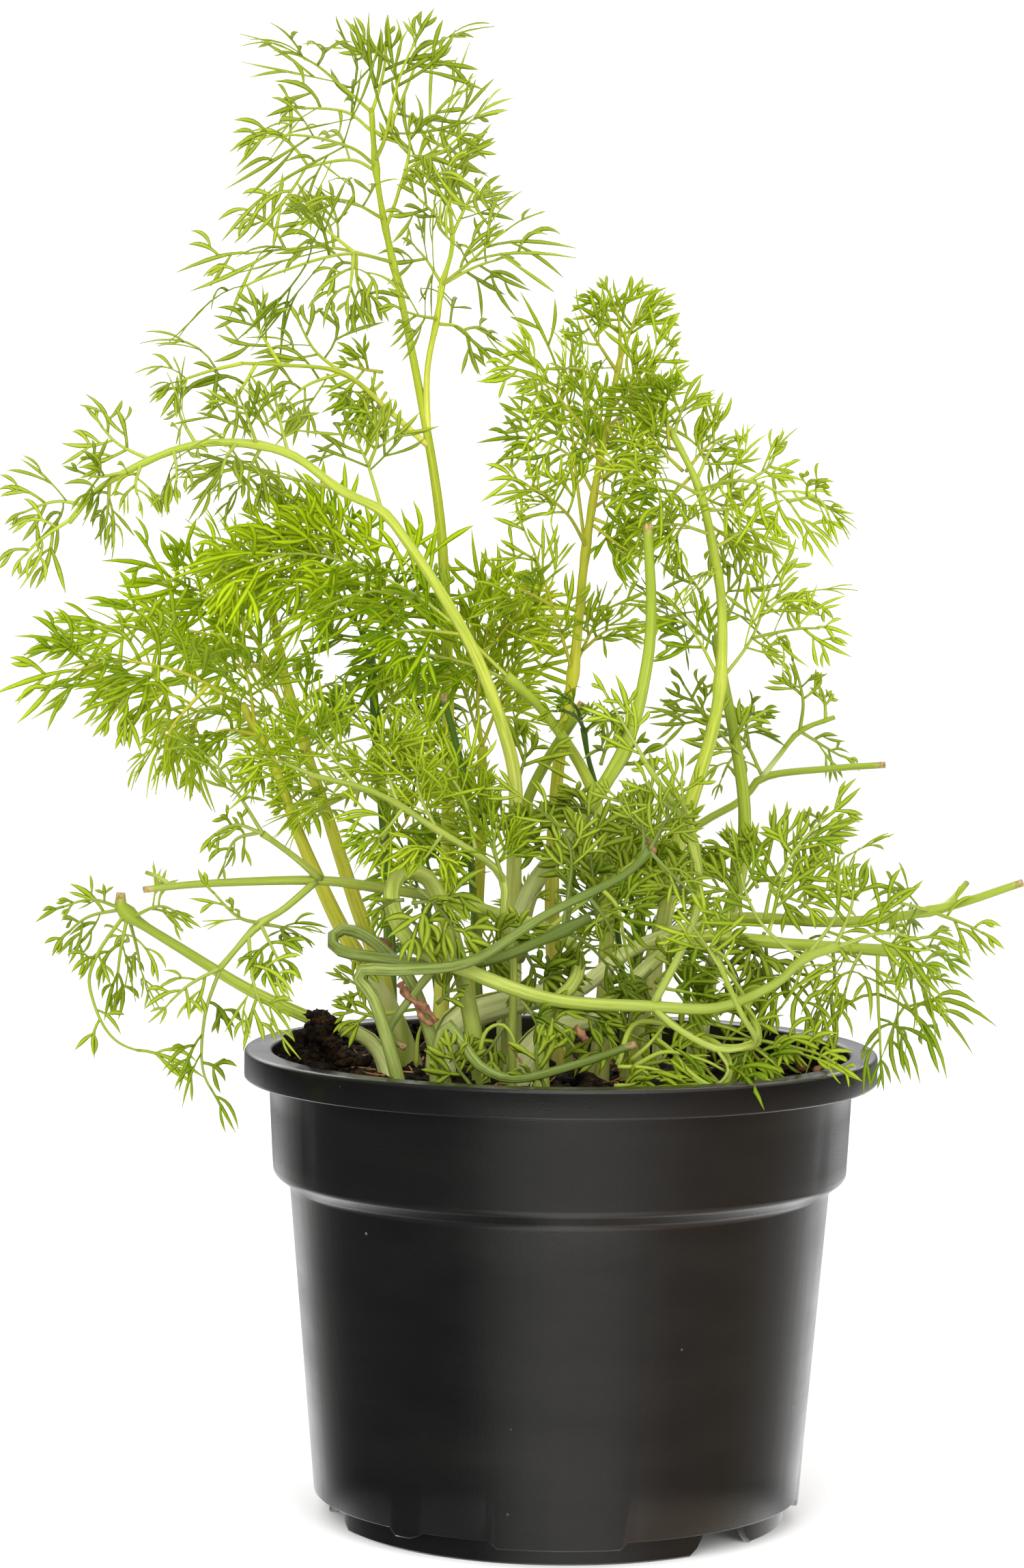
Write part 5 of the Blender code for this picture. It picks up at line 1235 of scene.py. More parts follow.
def grid_faces(rows, columns):
    """Quads between closed rings of points, with both ends closed by quads folded on the ring."""
    faces = []
    for row in range(rows - 1):
        first, second = row * columns, (row + 1) * columns
        for column in range(columns):
            after = (column + 1) % columns
            faces.append((first + column, first + after, second + after, second + column))
    for start, turn in ((0, -1), ((rows - 1) * columns, 1)):
        for low in range(1, columns // 2 + 1):
            high = columns - low
            corners = (low - 1, low, high, (high + 1) % columns)
            faces.append(tuple(start + corner for corner in corners[::turn]))
    return np.array(faces)


def about(draw, spread):
    """A random number up to the spread, above or below nought."""
    return draw.uniform(-spread, spread)


def smooth_line(points, step):
    """Points every step along a Catmull-Rom curve through given points."""
    points = np.asarray(points, float)
    padded = np.vstack([2 * points[0] - points[1], points, 2 * points[-1] - points[-2]])
    t = np.linspace(0, 1, CURVE_STEPS + 1)[:-1, None]
    fine = []
    for before, start, end, after in zip(padded, padded[1:], padded[2:], padded[3:]):
        curve = 2 * start + (end - before) * t + (2 * before - 5 * start + 4 * end - after) * t**2
        fine.append(0.5 * (curve + (3 * start - before - 3 * end + after) * t**3))
    fine = np.vstack([*fine, points[-1:]])
    reach = np.concatenate([[0], np.cumsum(np.linalg.norm(np.diff(fine, axis=0), axis=1))])
    count = max(3, int(round(reach[-1] / step)) + 1)
    wanted = np.linspace(0, reach[-1], count)
    line = np.stack([np.interp(wanted, reach, fine[:, axis]) for axis in range(3)], axis=1)
    return line, wanted


def frames_along(line):
    """Two directions across a line, which turn as little as can be."""
    along = unit(np.gradient(line, axis=0))
    across = np.zeros_like(line)
    across[0] = unit(np.cross(along[0], (0.3, 1.0, 0.2)))
    for index in range(1, len(line)):
        before = across[index - 1]
        across[index] = unit(before - along[index] * np.dot(along[index], before))
    return across, np.cross(along, across)


def tube(shape, line, reach, radii, sides, tone, slot, groove=0.0):
    """A tube along a line: tone is (how far up, whether cut) for each ring."""
    across, beside = frames_along(line)
    turn = np.arange(sides) * TURN / sides
    ribs = (np.arange(sides) % 2).astype(float)
    size = radii[:, None] * (1 - groove * ribs)[None]
    spread = np.cos(turn)[None, :, None] * across[:, None] + np.sin(turn)[None, :, None] * beside[:, None]
    points = line[:, None] + size[..., None] * spread
    girth = np.empty(points.shape)
    girth[..., 0] = np.cos(turn)
    girth[..., 1] = np.sin(turn)
    girth[..., 2] = (reach * STRIPE_LENGTH)[:, None]
    tones = np.empty(points.shape)
    tones[..., :2] = tone[:, None]
    tones[..., 2] = ribs
    points, tones, girth = (values.reshape(-1, 3) for values in (points, tones, girth))
    shape.add(points, grid_faces(len(line), sides), tones, girth, slot)


def thread_outline(s, waist):
    """A thread's width along itself, in two factors: it swells past the waist, and tapers to a point."""
    grown = np.clip((s - SWELL_START * waist) / SWELL_LENGTH, 0, 1)
    swell = WAIST_WIDTH + SWELL * grown * grown * (3 - 2 * grown)
    tip = POINT_START + POINT_SHIFT * waist
    return swell, 1 - POINT_NARROWING * np.clip((s - tip) / (1 - tip), 0, 1) ** POINT_POWER


class Threads:
    """Flat pointed threads, gathered and made in one go."""

    def __init__(self):
        self.rows = []

    def add(self, start, heading, bend, length, width, face, own, waist):
        """The waist is the share of the thread that stays a narrow stalk."""
        self.rows.append((*start, *heading, *bend, length, width, *face, own, waist))

    def into(self, shape, slot):
        """Makes every thread a blade with four sides."""
        if not self.rows:
            return
        rows = np.array(self.rows)
        start, heading, bend = rows[:, None, 0:3], rows[:, None, 3:6], rows[:, None, 6:9]
        length, width = rows[:, 9, None, None], rows[:, 10, None, None]
        face, own, waist = rows[:, None, 11:14], rows[:, 14], rows[:, 15, None, None]
        s = np.linspace(0, 1, THREAD_SECTIONS + 1)[None, :, None]
        centre = start + length * (heading * s + bend * s**2)
        along = unit(heading + 2 * bend * s)
        across = unit(np.cross(face, along))
        off = np.cross(along, across)
        swell, point = thread_outline(s, waist)
        half = 0.5 * width * swell * point
        thick = LEAST_THICKNESS + THICKNESS_GAIN * half
        sides = [centre - half * across, centre + thick * off, centre + half * across, centre - thick * off]
        corners = np.stack(sides, axis=2)
        count, rings = corners.shape[:2]
        first = (np.arange(count) * rings * 4)[:, None, None]
        faces = (grid_faces(rings, 4)[None] + first).reshape(-1, 4)
        tones = np.empty(corners.shape)
        tones[..., 0] = np.array([0.0, 1.0, 0.0, 1.0])
        tones[..., 1] = s
        tones[..., 2] = own[:, None, None]
        shape.add(corners.reshape(-1, 3), faces, tones.reshape(-1, 3), None, slot)


# Where a thread may be


def wall_inside(height):
    """The inner radius of the pot's wall at a height."""
    if height > COLLAR_BOTTOM:
        share = (height - COLLAR_BOTTOM) / (POT_HEIGHT - COLLAR_BOTTOM)
        return COLLAR_BOTTOM_RADIUS - WALL + share * (LIP_INNER_RADIUS - COLLAR_BOTTOM_RADIUS + WALL)
    share = (height - SKIRT_BOTTOM) / (BODY_TOP - SKIRT_BOTTOM)
    return BODY_BOTTOM_RADIUS - WALL + share * (BODY_TOP_RADIUS - BODY_BOTTOM_RADIUS)


def soil_top(x, y):
    """The height of the sloping, uneven soil, without its crumbs."""
    bumps = 0.7 * math.sin(0.16 * x + 1.0) * math.cos(0.13 * y) + 0.5 * math.sin(0.31 * y + 0.21 * x)
    return SOIL_LEVEL + SOIL_SLOPE_X * x + SOIL_SLOPE_Y * y + bumps


BOX_LOW, BOX_HIGH = (np.array(corner) / MM for corner in cad_box)


def has_room(point):
    """Whether a thread's point keeps off the pot and the soil, and inside the frame's box."""
    x, y, z = point
    if (point < BOX_LOW + BOX_ROOM).any() or (point > BOX_HIGH - BOX_ROOM).any():
        return False
    radius = math.hypot(x, y)
    if radius > LIP_RADIUS + LIP_ROOM:
        return True
    if radius > wall_inside(POT_HEIGHT) - LIP_ROOM:
        return z > POT_HEIGHT + TOP_ROOM
    return z > soil_top(x, y) + SOIL_ROOM


# Leaves


def leaf_frame(along, roll):
    """The directions across a leaf and off its face."""
    across = unit(np.cross(along, (0, 1, 0.2)))
    off = np.cross(along, across)
    return math.cos(roll) * across + math.sin(roll) * off, math.cos(roll) * off - math.sin(roll) * across


def falling(heading, draw, droop):
    """How a thread bends: down with its weight, and a little at random."""
    weight = droop * math.hypot(heading[0], heading[1])
    side, deep, tall = about(draw, WANDER_SIDE), about(draw, WANDER_DEPTH), draw.uniform(*WANDER_UP)
    return np.array((side, deep, tall - weight))


def fork_places(length, look, draw, depth):
    """Where finer threads leave a thread, as shares of its length."""
    if depth == 0:
        return LONG_FORKS if length > LONG_LOBE else SHORT_FORKS
    if depth == 1 and length > SHORTEST_FORKED and draw.random() < look["forked"]:
        return SECOND_FORKS
    return ()


def fitted(start, heading, bend, length):
    """The length at which a thread has room, or None when no shorter one has room."""
    for _ in range(SHORTENINGS):
        tip = start + length * (heading + bend)
        middle = start + length * (heading / 2 + bend / 4)
        if has_room(tip) and has_room(middle):
            return length
        length *= SHORTER
    return None


def pinna(threads, start, heading, bend, length, look, face, draw, own, depth=0):
    """One lobe of a leaf: a thread with finer ones that leave it at a narrow angle and run on beside it."""
    heading = unit(heading) - BEND_OFFSET * bend
    length = fitted(start, heading, bend, length)
    if length is None:
        return
    slender = min(1.0, SHORT_THREAD_WIDTH + WIDTH_GAIN * length)
    width = look["width"] * THREAD_WIDTH * slender * draw.uniform(*THREAD_WIDTHS)
    threads.add(start, heading, bend, length, width, face, own, WAISTS[depth])
    places = fork_places(length, look, draw, depth)
    side = draw.choice((-1, 1))
    for share in places:
        share += about(draw, FORK_SHIFT)
        spot = start + length * (heading * share + bend * share**2)
        along = unit(heading + 2 * share * bend)
        across = unit(np.cross(face, along))
        paired = depth == 0 and draw.random() < look["paired"]
        for way in ((side, -side) if paired else (side,)):
            angle = math.radians(draw.uniform(*FORK_ANGLES))
            out = math.cos(angle) * along + math.sin(angle) * way * across
            out = out + about(draw, FORK_TILT) * face
            curl = FORK_RUN * along - FORK_CURL * way * across + falling(out, draw, look["droop"])
            short = length * (1 - share) * draw.uniform(*FORK_LENGTHS)
            shade = own + about(draw, FORK_SHADE)
            pinna(threads, spot, out, curl, short, look, face, draw, shade, depth + 1)
        side = -side


def leaf(shape, threads, longest, route, draw, index, look):
    """A leaf's rib and its forked lobes, in pairs and, where it is bushy, all round.

    It returns the rib's line.
    """
    line, reach = smooth_line(route, 1.0)
    length = reach[-1]
    roll = MOST_ROLL * math.sin(ROLL_STEP * index)
    directions = unit(np.gradient(line, axis=0))
    ribbed = max(3, int(RIB_END * len(line)))
    shares = reach[:ribbed] / length
    tone = np.stack([RIB_UP + RIB_RISE * shares, np.zeros_like(shares)], axis=1)
    radii = RIB_RADIUS - RIB_THINNING * shares
    tube(shape, line[:ribbed], reach[:ribbed], radii, RIB_SIDES, tone, STEM)
    leaf_tone = draw.uniform(*LEAF_TONES)

    def lobe(place, side, roll, size):
        at = min(int(place * (len(line) - 1)), len(line) - 1)
        along = directions[at]
        across, off = leaf_frame(along, roll)
        angle = math.radians(LOBE_ANGLE - ANGLE_LOSS * place + about(draw, ANGLE_SHIFT))
        lift = about(draw, LOBE_LIFT)
        out = math.cos(lift) * side * across + math.sin(lift) * off
        heading = math.cos(angle) * along + math.sin(angle) * out if side else along
        bend = LOBE_CURL * along - LOBE_CURL * abs(side) * out + falling(heading, draw, look["droop"])
        face = unit(off + FACE_TILT * about(draw, 1) * across)
        own = min(max(leaf_tone + about(draw, LOBE_TONE), 0.0), 1.0)
        pinna(threads, line[at], heading, bend, size, look, face, draw, own)

    def size_at(place):
        most = look["long"] * longest * (LOBE_SIZE - SIZE_LOSS * place)
        return min(most, (TIP_REACH - place) * length + TIP_SIZE) * draw.uniform(*LOBE_SIZES)

    pairs = max(2, int(round(length * (RIB_END - BARE_PART) * look["dense"] / PAIR_SPACING)))
    step = (RIB_END - BARE_PART) / pairs
    for pair in range(pairs):
        for side in (-1, 1):
            place = BARE_PART + step * (pair + draw.uniform(*PAIR_SHIFT))
            lobe(place, side, roll, size_at(place))
    lobe(RIB_END - LAST_LOBE_BACK, 0, roll, max(LAST_LOBE_LEAST, (LAST_LOBE_REACH - RIB_END) * length))
    for _ in range(int(look["fill"] * length / FILL_SPACING + draw.random())):
        place = draw.uniform(*FILLED_PART)
        lobe(place, 1, draw.uniform(0, TURN), FILL_SIZE * size_at(place))
    return line


# Fronds


def snap(point, carriers):
    """The nearest point on the lines that a leaf or side stem may grow from."""
    every = np.vstack(carriers)
    return every[np.argmin(np.linalg.norm(every - point, axis=1))]


def sheath(shape, line, reach, radii, tall, draw):
    """The thin open sheath that hugs the foot of a stem and runs out in a narrow strip."""
    rows = [row for row in range(len(line)) if reach[row] < tall]
    across, beside = frames_along(line)
    opening = draw.uniform(0, TURN)
    points = []
    for row in rows:
        share = reach[row] / reach[rows[-1]]
        spread = math.radians(SHEATH_CLOSING * (1 - share**SHEATH_POWER) + SHEATH_LEAST)
        wide = radii[row] * (SHEATH_WIDTH - SHEATH_LOSS * share) + SHEATH_GAP
        outside = []
        for column in range(SHEATH_COLUMNS):
            turn = opening + spread * (2 * column / (SHEATH_COLUMNS - 1) - 1)
            wave = 1 + SHEATH_WAVE * math.sin(5 * turn + 7 * share)
            outside.append((wide * wave, turn))
        inside = [(radius - SHEATH_THICKNESS, turn) for radius, turn in outside[::-1]]
        for radius, turn in outside + inside:
            points.append(line[row] + radius * (math.cos(turn) * across[row] + math.sin(turn) * beside[row]))
    points = np.array(points)
    up = np.repeat(reach[rows] / tall, 2 * SHEATH_COLUMNS)
    tone = np.stack([up, *np.zeros((2, len(points)))], axis=1)
    shape.add(points, grid_faces(len(rows), 2 * SHEATH_COLUMNS), tone, None, SHEATH)


def stem_lines(stems):
    """Each stem as (first radius, last radius, line, reach), and finer lines for leaves to grow from."""
    lines, carriers = [], []
    for first, last, route in stems:
        route = [np.array(point, float) for point in route]
        if carriers:
            route[0] = snap(route[0], carriers)
        lines.append((first, last, *smooth_line(route, STEM_STEP)))
        carriers.append(smooth_line(route, CARRIER_STEP)[0])
    return lines, carriers


def swollen(radii, line, roots):
    """A stem's radii, a little wider where a leaf grows from it."""
    for root in roots:
        off = np.linalg.norm(line - root, axis=1)
        radii = radii * (1 + ROOT_SWELL * np.exp(-((off / ROOT_REACH) ** 2)) * (off.min() < ROOT_NEAR))
    return radii


def stem(shape, plan, index, stem_line, roots, draw):
    """One stem, with its cut end and its sheath where it has them. The first stem is wider at its foot."""
    first, last, line, reach = stem_line
    shares = reach / reach[-1]
    radii = swollen(first + (last - first) * shares ** plan.get("taper", 1.0), line, roots)
    up = shares
    if index == 0:
        radii = radii * (1 + FOOT_SWELL * np.exp(-((reach / FOOT_REACH) ** 2)))
        up = shares * plan.get("foot", 1.0)
    cut = np.zeros_like(shares)
    if index in plan.get("cut", ()):
        cut[-1] = 1.0
    slot = SECOND_STEM if index and "second" in plan else STEM
    tube(shape, line, reach, radii, STEM_SIDES, np.stack([up, cut], axis=1), slot, STEM_GROOVE)
    if index in plan.get("sheath", {}):
        sheath(shape, line, reach, radii, plan["sheath"][index], draw)


def frond(name, plan):
    """One frond's stems and leaves, in place of its node."""
    draw = random.Random(name)
    shape = Shape()
    threads = Threads()
    look = LOOKS[plan["look"]]
    lines, carriers = stem_lines(plan["stems"])
    roots = []
    for index, (longest, route) in enumerate(plan["leaves"]):
        route = [np.array(point, float) for point in route]
        route[0] = snap(route[0], carriers)
        roots.append(route[0])
        carriers.append(leaf(shape, threads, longest, route, draw, index, look))
    for index, stem_line in enumerate(lines):
        stem(shape, plan, index, stem_line, roots, draw)
    threads.into(shape, LEAF)
    second = LOOKS[plan["second"]]["stem"] if "second" in plan else look["stem"]
    made = shape.build(name + "_fine", [look["leaf"], look["stem"], second, SHEATH_SKIN])
    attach(made, "root")
    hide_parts(name)


def undergrowth(name, look, leaves, strands):
    """Small leaves and thin curled stalks among the feet of the stems."""
    draw = random.Random(name)
    shape = Shape()
    threads = Threads()
    for index, (longest, route) in enumerate(leaves):
        leaf(shape, threads, longest, route, draw, index, look)
    for radius, route in strands:
        line, reach = smooth_line(route, STRAND_STEP)
        shares = reach / reach[-1]
        tone = np.stack([STRAND_UP + STRAND_RISE * shares, np.zeros_like(shares)], axis=1)
        tube(shape, line, reach, radius * (1 - STRAND_THINNING * shares), STRAND_SIDES, tone, STEM)
    threads.into(shape, LEAF)
    made = shape.build(name, [look["leaf"], look["stem"]])
    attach(made, "root")


# The pot


def angle_between(first, second):
    """The smaller angle between two turns, in degrees."""
    return abs((first - second + 180.0) % 360.0 - 180.0)


def nearest(angle, angles):
    """How far an angle is from the nearest of some others."""
    return min(angle_between(angle, other) for other in angles)


def foot_height(angle):
    """The foot's lower edge, raised in a round-cornered arch over each gap."""
    inside = GAP_HALF_WIDTH + GAP_OUTSIDE - nearest(angle, GAP_ANGLES)
    share = min(max(inside / GAP_SLOPE, 0.0), 1.0)
    return GAP_RISE * math.sin(0.5 * math.pi * share)


def skirt_height(angle):
    """The body's lower edge, which hangs lower in its tabs."""
    broad = BROAD_HALF_WIDTH - nearest(angle, BROAD_TABS)
    narrow = NARROW_HALF_WIDTH - nearest(angle, NARROW_TABS)
    return SKIRT_BOTTOM - TAB_DROP * min(max(max(broad, narrow) / TAB_SLOPE, 0.0), 1.0)


def panel(angle, height):
    """How far the collar stands in or out: it has faint flat panels with soft upright edges."""
    edge = nearest(angle, PANEL_EDGES) / PANEL_EDGE
    wave = math.sin(math.radians(6 * angle) + 0.05 * height)
    return -PANEL_DEPTH * math.exp(-(edge**2)) + PANEL_WAVE * wave


def rounded(corner, before, after, size, steps):
    """Outline points round a corner, from before to after."""
    corner, before, after = (np.array(point, float) for point in (corner, before, after))
    start = corner + size * unit(before - corner)
    end = corner + size * unit(after - corner)
    made = []
    for step in range(steps + 1):
        t = step / steps
        made.append((*((1 - t) ** 2 * start + 2 * t * (1 - t) * corner + t**2 * end), None))
    return made


def straight(low, high, heights, rule):
    """Outline points at some heights between a low and a high corner."""
    made = []
    for height in heights:
        share = (height - low[1]) / (high[1] - low[1])
        made.append((low[0] + share * (high[0] - low[0]), height, rule))
    return made


def pot_outline():
    """The pot's outline from its pad out, up and in to its floor, as (radius, height, rule)."""
    foot_inner = FOOT_RADIUS - FOOT_WIDTH
    body, chamfer = (BODY_BOTTOM_RADIUS, SKIRT_BOTTOM), (BODY_TOP_RADIUS, BODY_TOP)
    collar, under = (COLLAR_BOTTOM_RADIUS, COLLAR_BOTTOM), (COLLAR_TOP_RADIUS, LIP_UNDERSIDE)
    lip_low, lip_high = (LIP_RADIUS, LIP_UNDERSIDE), (LIP_RADIUS, POT_HEIGHT)
    lip_in, throat = (LIP_INNER_RADIUS, POT_HEIGHT), (COLLAR_BOTTOM_RADIUS - WALL, COLLAR_BOTTOM + 0.5)
    return [
        (PAD_RADIUS, 0.0, None),
        (PAD_RADIUS + 1.0, FLOOR_BOTTOM, None),
        (foot_inner - 0.4, FLOOR_BOTTOM, None),
        (foot_inner, 0.0, "foot"),
        (foot_inner + 0.25, 0.0, "foot"),
        (FOOT_RADIUS - 0.3, 0.0, "foot"),
        (FOOT_RADIUS, 0.35, "foot"),
        (FOOT_RADIUS + 0.3, SKIRT_BOTTOM, None),
        (BODY_BOTTOM_RADIUS - WALL, SKIRT_BOTTOM, "skirt"),
        (BODY_BOTTOM_RADIUS - 0.2, SKIRT_BOTTOM, "skirt"),
        (BODY_BOTTOM_RADIUS, SKIRT_BOTTOM + 0.25, "skirt"),
        *straight(body, chamfer, BODY_RINGS, None),
        *rounded(chamfer, body, collar, 0.9, 3),
        *rounded(collar, chamfer, under, 1.0, 4),
        *straight(collar, under, COLLAR_RINGS, "panel"),
        *rounded(under, collar, lip_low, 0.8, 3),
        *rounded(lip_low, under, lip_high, 0.6, 4),
        *rounded(lip_high, lip_low, lip_in, 1.0, 6),
        *rounded(lip_in, lip_high, throat, 1.0, 5),
        (*throat, None),
        (BODY_TOP_RADIUS - WALL, BODY_TOP + 0.4, None),
        (wall_inside(FLOOR_TOP), FLOOR_TOP, None),
    ]


def pot_corner(radius, height, rule, degrees):
    """A corner of the pot's surface, with the arches, tabs or panels that its rule names."""
    front = degrees + 90.0
    if rule == "foot":
        height = max(height, foot_height(front))
    elif rule == "skirt":
        height += skirt_height(front) - SKIRT_BOTTOM
    elif rule == "panel":
        radius += panel((front + 180) % 360 - 180, height)
    x, y = at_turn(math.radians(degrees), radius)
    return x * MM, y * MM, height * MM


def pot_mesh():
    """The outline turned round the pot's axis, and closed at the pad and the floor."""
    bm = bmesh.new()
    turns = [360.0 * index / POT_SEGMENTS for index in range(POT_SEGMENTS)]
    rings = [
        [bm.verts.new(pot_corner(radius, height, rule, degrees)) for degrees in turns]
        for radius, height, rule in pot_outline()
    ]
    for lower, upper in zip(rings, rings[1:]):
        for index in range(POT_SEGMENTS):
            after = (index + 1) % POT_SEGMENTS
            bm.faces.new((lower[index], lower[after], upper[after], upper[index]))
    for ring, height in ((rings[0], 0.0), (rings[-1], FLOOR_TOP)):
        middle = bm.verts.new((0, 0, height * MM))
        for index in range(POT_SEGMENTS):
            bm.faces.new((ring[index], ring[(index + 1) % POT_SEGMENTS], middle))
    bmesh.ops.recalc_face_normals(bm, faces=bm.faces)
    mesh = bpy.data.meshes.new("pot_fine")
    bm.to_mesh(mesh)
    bm.free()
    mesh.materials.append(pot_material())
    return mesh


def drill(body, angle):
    """Cuts one drain hole through the pot's floor."""
    x, y = at_turn(math.radians(angle), DRAIN_CIRCLE)
    bpy.ops.mesh.primitive_cylinder_add(
        vertices=DRILL_SIDES,
        radius=DRAIN_RADIUS * MM,
        depth=DRILL_DEPTH * MM,
        location=(x * MM, y * MM, DRILL_HEIGHT * MM),
    )
    cutter = bpy.context.object
    cut = body.modifiers.new("drain", "BOOLEAN")
    cut.operation = "DIFFERENCE"
    cut.object = cutter
    graph = bpy.context.evaluated_depsgraph_get()
    result = bpy.data.meshes.new_from_object(body.evaluated_get(graph))
    body.modifiers.clear()
    body.data = result
    bpy.data.objects.remove(cutter, do_unlink=True)


def pot():
    """The pot with its drain holes, in place of its node."""
    made = in_scene("pot_fine", pot_mesh())
    for angle in DRAIN_ANGLES:
        drill(made, angle)
    made.data.shade_smooth()
    made.data.set_sharp_from_angle(angle=math.radians(SHARP_ANGLE))
    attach(made, "root")
    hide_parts("pot")


# The soil


def crumbly(x, y):
    """The soil's height with its crumbs and hollows."""
    spot = Vector((x, y, 0.0))
    rough = 1.8 * noise.noise(spot * 0.14) + 1.6 * abs(noise.noise(spot * 0.38 + Vector((9, 2, 4))))
    return soil_top(x, y) - 0.8 + rough + 0.8 * noise.noise(spot * 0.9 + Vector((3, 7, 1)))


def soil():
    """The peat: a plug that fills the pot, under a rough top."""
    shape = Shape()
    points = []
    turns = [TURN * column / SOIL_COLUMNS for column in range(SOIL_COLUMNS)]
    for height in SOIL_RINGS:
        radius = wall_inside(height) - SOIL_GAP
        points += [(*at_turn(turn, radius), height) for turn in turns]
    for row in range(SOIL_ROWS):
        radius = (1.0 - row / SOIL_ROWS) * (wall_inside(SOIL_EDGE_HEIGHT) - SOIL_TOP_GAP)
        for turn in turns:
            x, y = at_turn(turn, radius)
            points.append((x, y, crumbly(x, y)))
    faces = grid_faces(SOIL_ROWS + len(SOIL_RINGS), SOIL_COLUMNS)
    shape.add(np.array(points), faces, (0.0, 0.0, 0.0))
    made = shape.build("soil_fine", [peat_material()])
    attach(made, "root")
    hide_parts("soil")


def crumb(shape, centre, size, draw, slot=PEAT):
    """A rough lump of peat or bark."""
    bm = bmesh.new()
    bmesh.ops.create_icosphere(bm, subdivisions=2, radius=1.0)
    shift = Vector([about(draw, 50) for _ in range(3)])
    stretch = Vector([draw.uniform(*limits) for limits in CRUMB_STRETCHES])
    turn = Matrix.Rotation(draw.uniform(*CRUMB_TURNS), 3, "Z")
    points = []
    for vert in bm.verts:
        bulge = 1
        for height, scale in (COARSE_BULGE, FINE_BULGE):
            bulge += height * noise.noise(vert.co * scale + shift)
        points.append(turn @ (vert.co * stretch * size * bulge) + Vector(centre))
    faces = [[v.index for v in face.verts] for face in bm.faces]
    bm.free()
    shape.add(np.array(points), [(*face, face[2]) for face in faces], (0.5, 0.0, 0.0), None, slot)


def scatter(shape, draw):
    """Crumbs all over the soil, with a few small bits of bark."""
    for _ in range(CRUMBS):
        x, y = at_turn(draw.uniform(0, TURN), CRUMB_REACH * math.sqrt(draw.random()))
        size = draw.choice(CRUMB_SIZES) * draw.uniform(*CRUMB_SCALES)
        slot = BARK if size < LARGEST_BARK and draw.random() < BARK_SHARE else PEAT
        crumb(shape, (x, y, crumbly(x, y) + CRUMB_LIFT * size), size, draw, slot)


def bank(shape, draw):
    """Crumbs heaped up at the pot's wall."""
    for _ in range(BANK_CRUMBS):
        turn, radius = draw.uniform(0, TURN), draw.uniform(BANK_INNER, BANK_OUTER)
        x, y = at_turn(turn, radius)
        size = draw.uniform(*BANK_SIZES)
        heap = draw.uniform(0.0, BANK_HEIGHT) * (radius - BANK_START) / BANK_DEPTH
        crumb(shape, (x, y, soil_top(x, y) + heap), size, draw)


def clump(shape, draw):
    """The dark clump at the front left, which narrows to its top."""
    for _ in range(CLUMP_CRUMBS):
        lift = draw.random()
        x, y = (
            middle + draw.gauss(0, width - loss * lift)
            for middle, (width, loss) in zip(CLUMP, CLUMP_WIDTHS)
        )
        height = soil_top(x, y) + CLUMP_BASE + CLUMP_HEIGHT * lift
        crumb(shape, (x, y, height), draw.uniform(*CLUMP_SIZES), draw)


def fibre_route(draw):
    """Points of a root fibre that wanders over the soil and turns back at the wall."""
    x, y = at_turn(draw.uniform(0, TURN), FIBRE_REACH * math.sqrt(draw.random()))
    heading, length = draw.uniform(0, TURN), draw.uniform(*FIBRE_LENGTHS)
    stride = length / (FIBRE_POINTS - 1)
    route = []
    for _ in range(FIBRE_POINTS):
        heading += about(draw, FIBRE_BEND)
        route.append((x, y, crumbly(x, y) + draw.uniform(*FIBRE_HEIGHTS)))
        x += stride * math.cos(heading)
        y += stride * math.sin(heading)
        if math.hypot(x, y) > FIBRE_LIMIT:
            x, y = FIBRE_RETREAT * route[-1][0], FIBRE_RETREAT * route[-1][1]
    return route


def fibres(shape, draw):
    """Root fibres on the soil."""
    for _ in range(FIBRES):
        line, reach = smooth_line(fibre_route(draw), FIBRE_STEP)
        radii = np.full(len(line), draw.uniform(*FIBRE_RADII))
        tube(shape, line, reach, radii, FIBRE_SIDES, np.zeros((len(line), 2)), FIBRE)


def dry_bits(shape, draw):
    """The dried brown bits between the stems."""
    for radius, route in DRY_BITS:
        line, reach = smooth_line(route, DRY_STEP)
        wrinkled = radius * np.array([draw.uniform(*DRY_WRINKLES) for _ in line])
        tube(shape, line, reach, wrinkled, DRY_SIDES, np.zeros((len(line), 2)), DRY)


def litter():
    """Peat crumbs, bark bits, root fibres and dry bits that lie on the soil."""
    draw = random.Random("litter")
    shape = Shape()
    for part in (scatter, bank, clump, fibres, dry_bits):
        part(shape, draw)
    mottled = [mottled_material(name, *colours) for name, colours in LITTER_COLOURS.items()]
    made = shape.build("litter", [peat_material(), *mottled])
    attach(made, "root")


# Camera, floor and light


def camera():
    """The fitted camera."""
    made = in_scene("camera", bpy.data.cameras.new("camera"))
    made.data.lens = LENS
    made.data.sensor_width = SENSOR_WIDTH
    made.data.clip_start, made.data.clip_end = NEAREST, FURTHEST
    tilt = Matrix.Rotation(math.radians(90 - CAMERA_DOWN), 4, "X")
    roll = Matrix.Rotation(math.radians(CAMERA_ROLL), 4, "Z")
    made.matrix_world = Matrix.Translation(CAMERA_PLACE) @ tilt @ roll
    bpy.context.scene.camera = made


def floor():
    """The white floor under the pot."""
    mesh = bpy.data.meshes.new("floor")
    corners = [(x * FLOOR_REACH, y * FLOOR_REACH, 0) for x, y in ((-1, -1), (1, -1), (1, 1), (-1, 1))]
    mesh.from_pydata(corners, [], [(0, 1, 2, 3)])
    white = Shader("floor_white")
    white.paint(white.ramp(white.noise(white.objects(), scale=40.0), (0.0, 0.93), (1.0, 0.96)))
    white.set(Roughness=0.7, Specular_IOR_Level=0.2)
    mesh.materials.append(white.material)
    made = in_scene("floor", mesh)
    made.visible_glossy = False


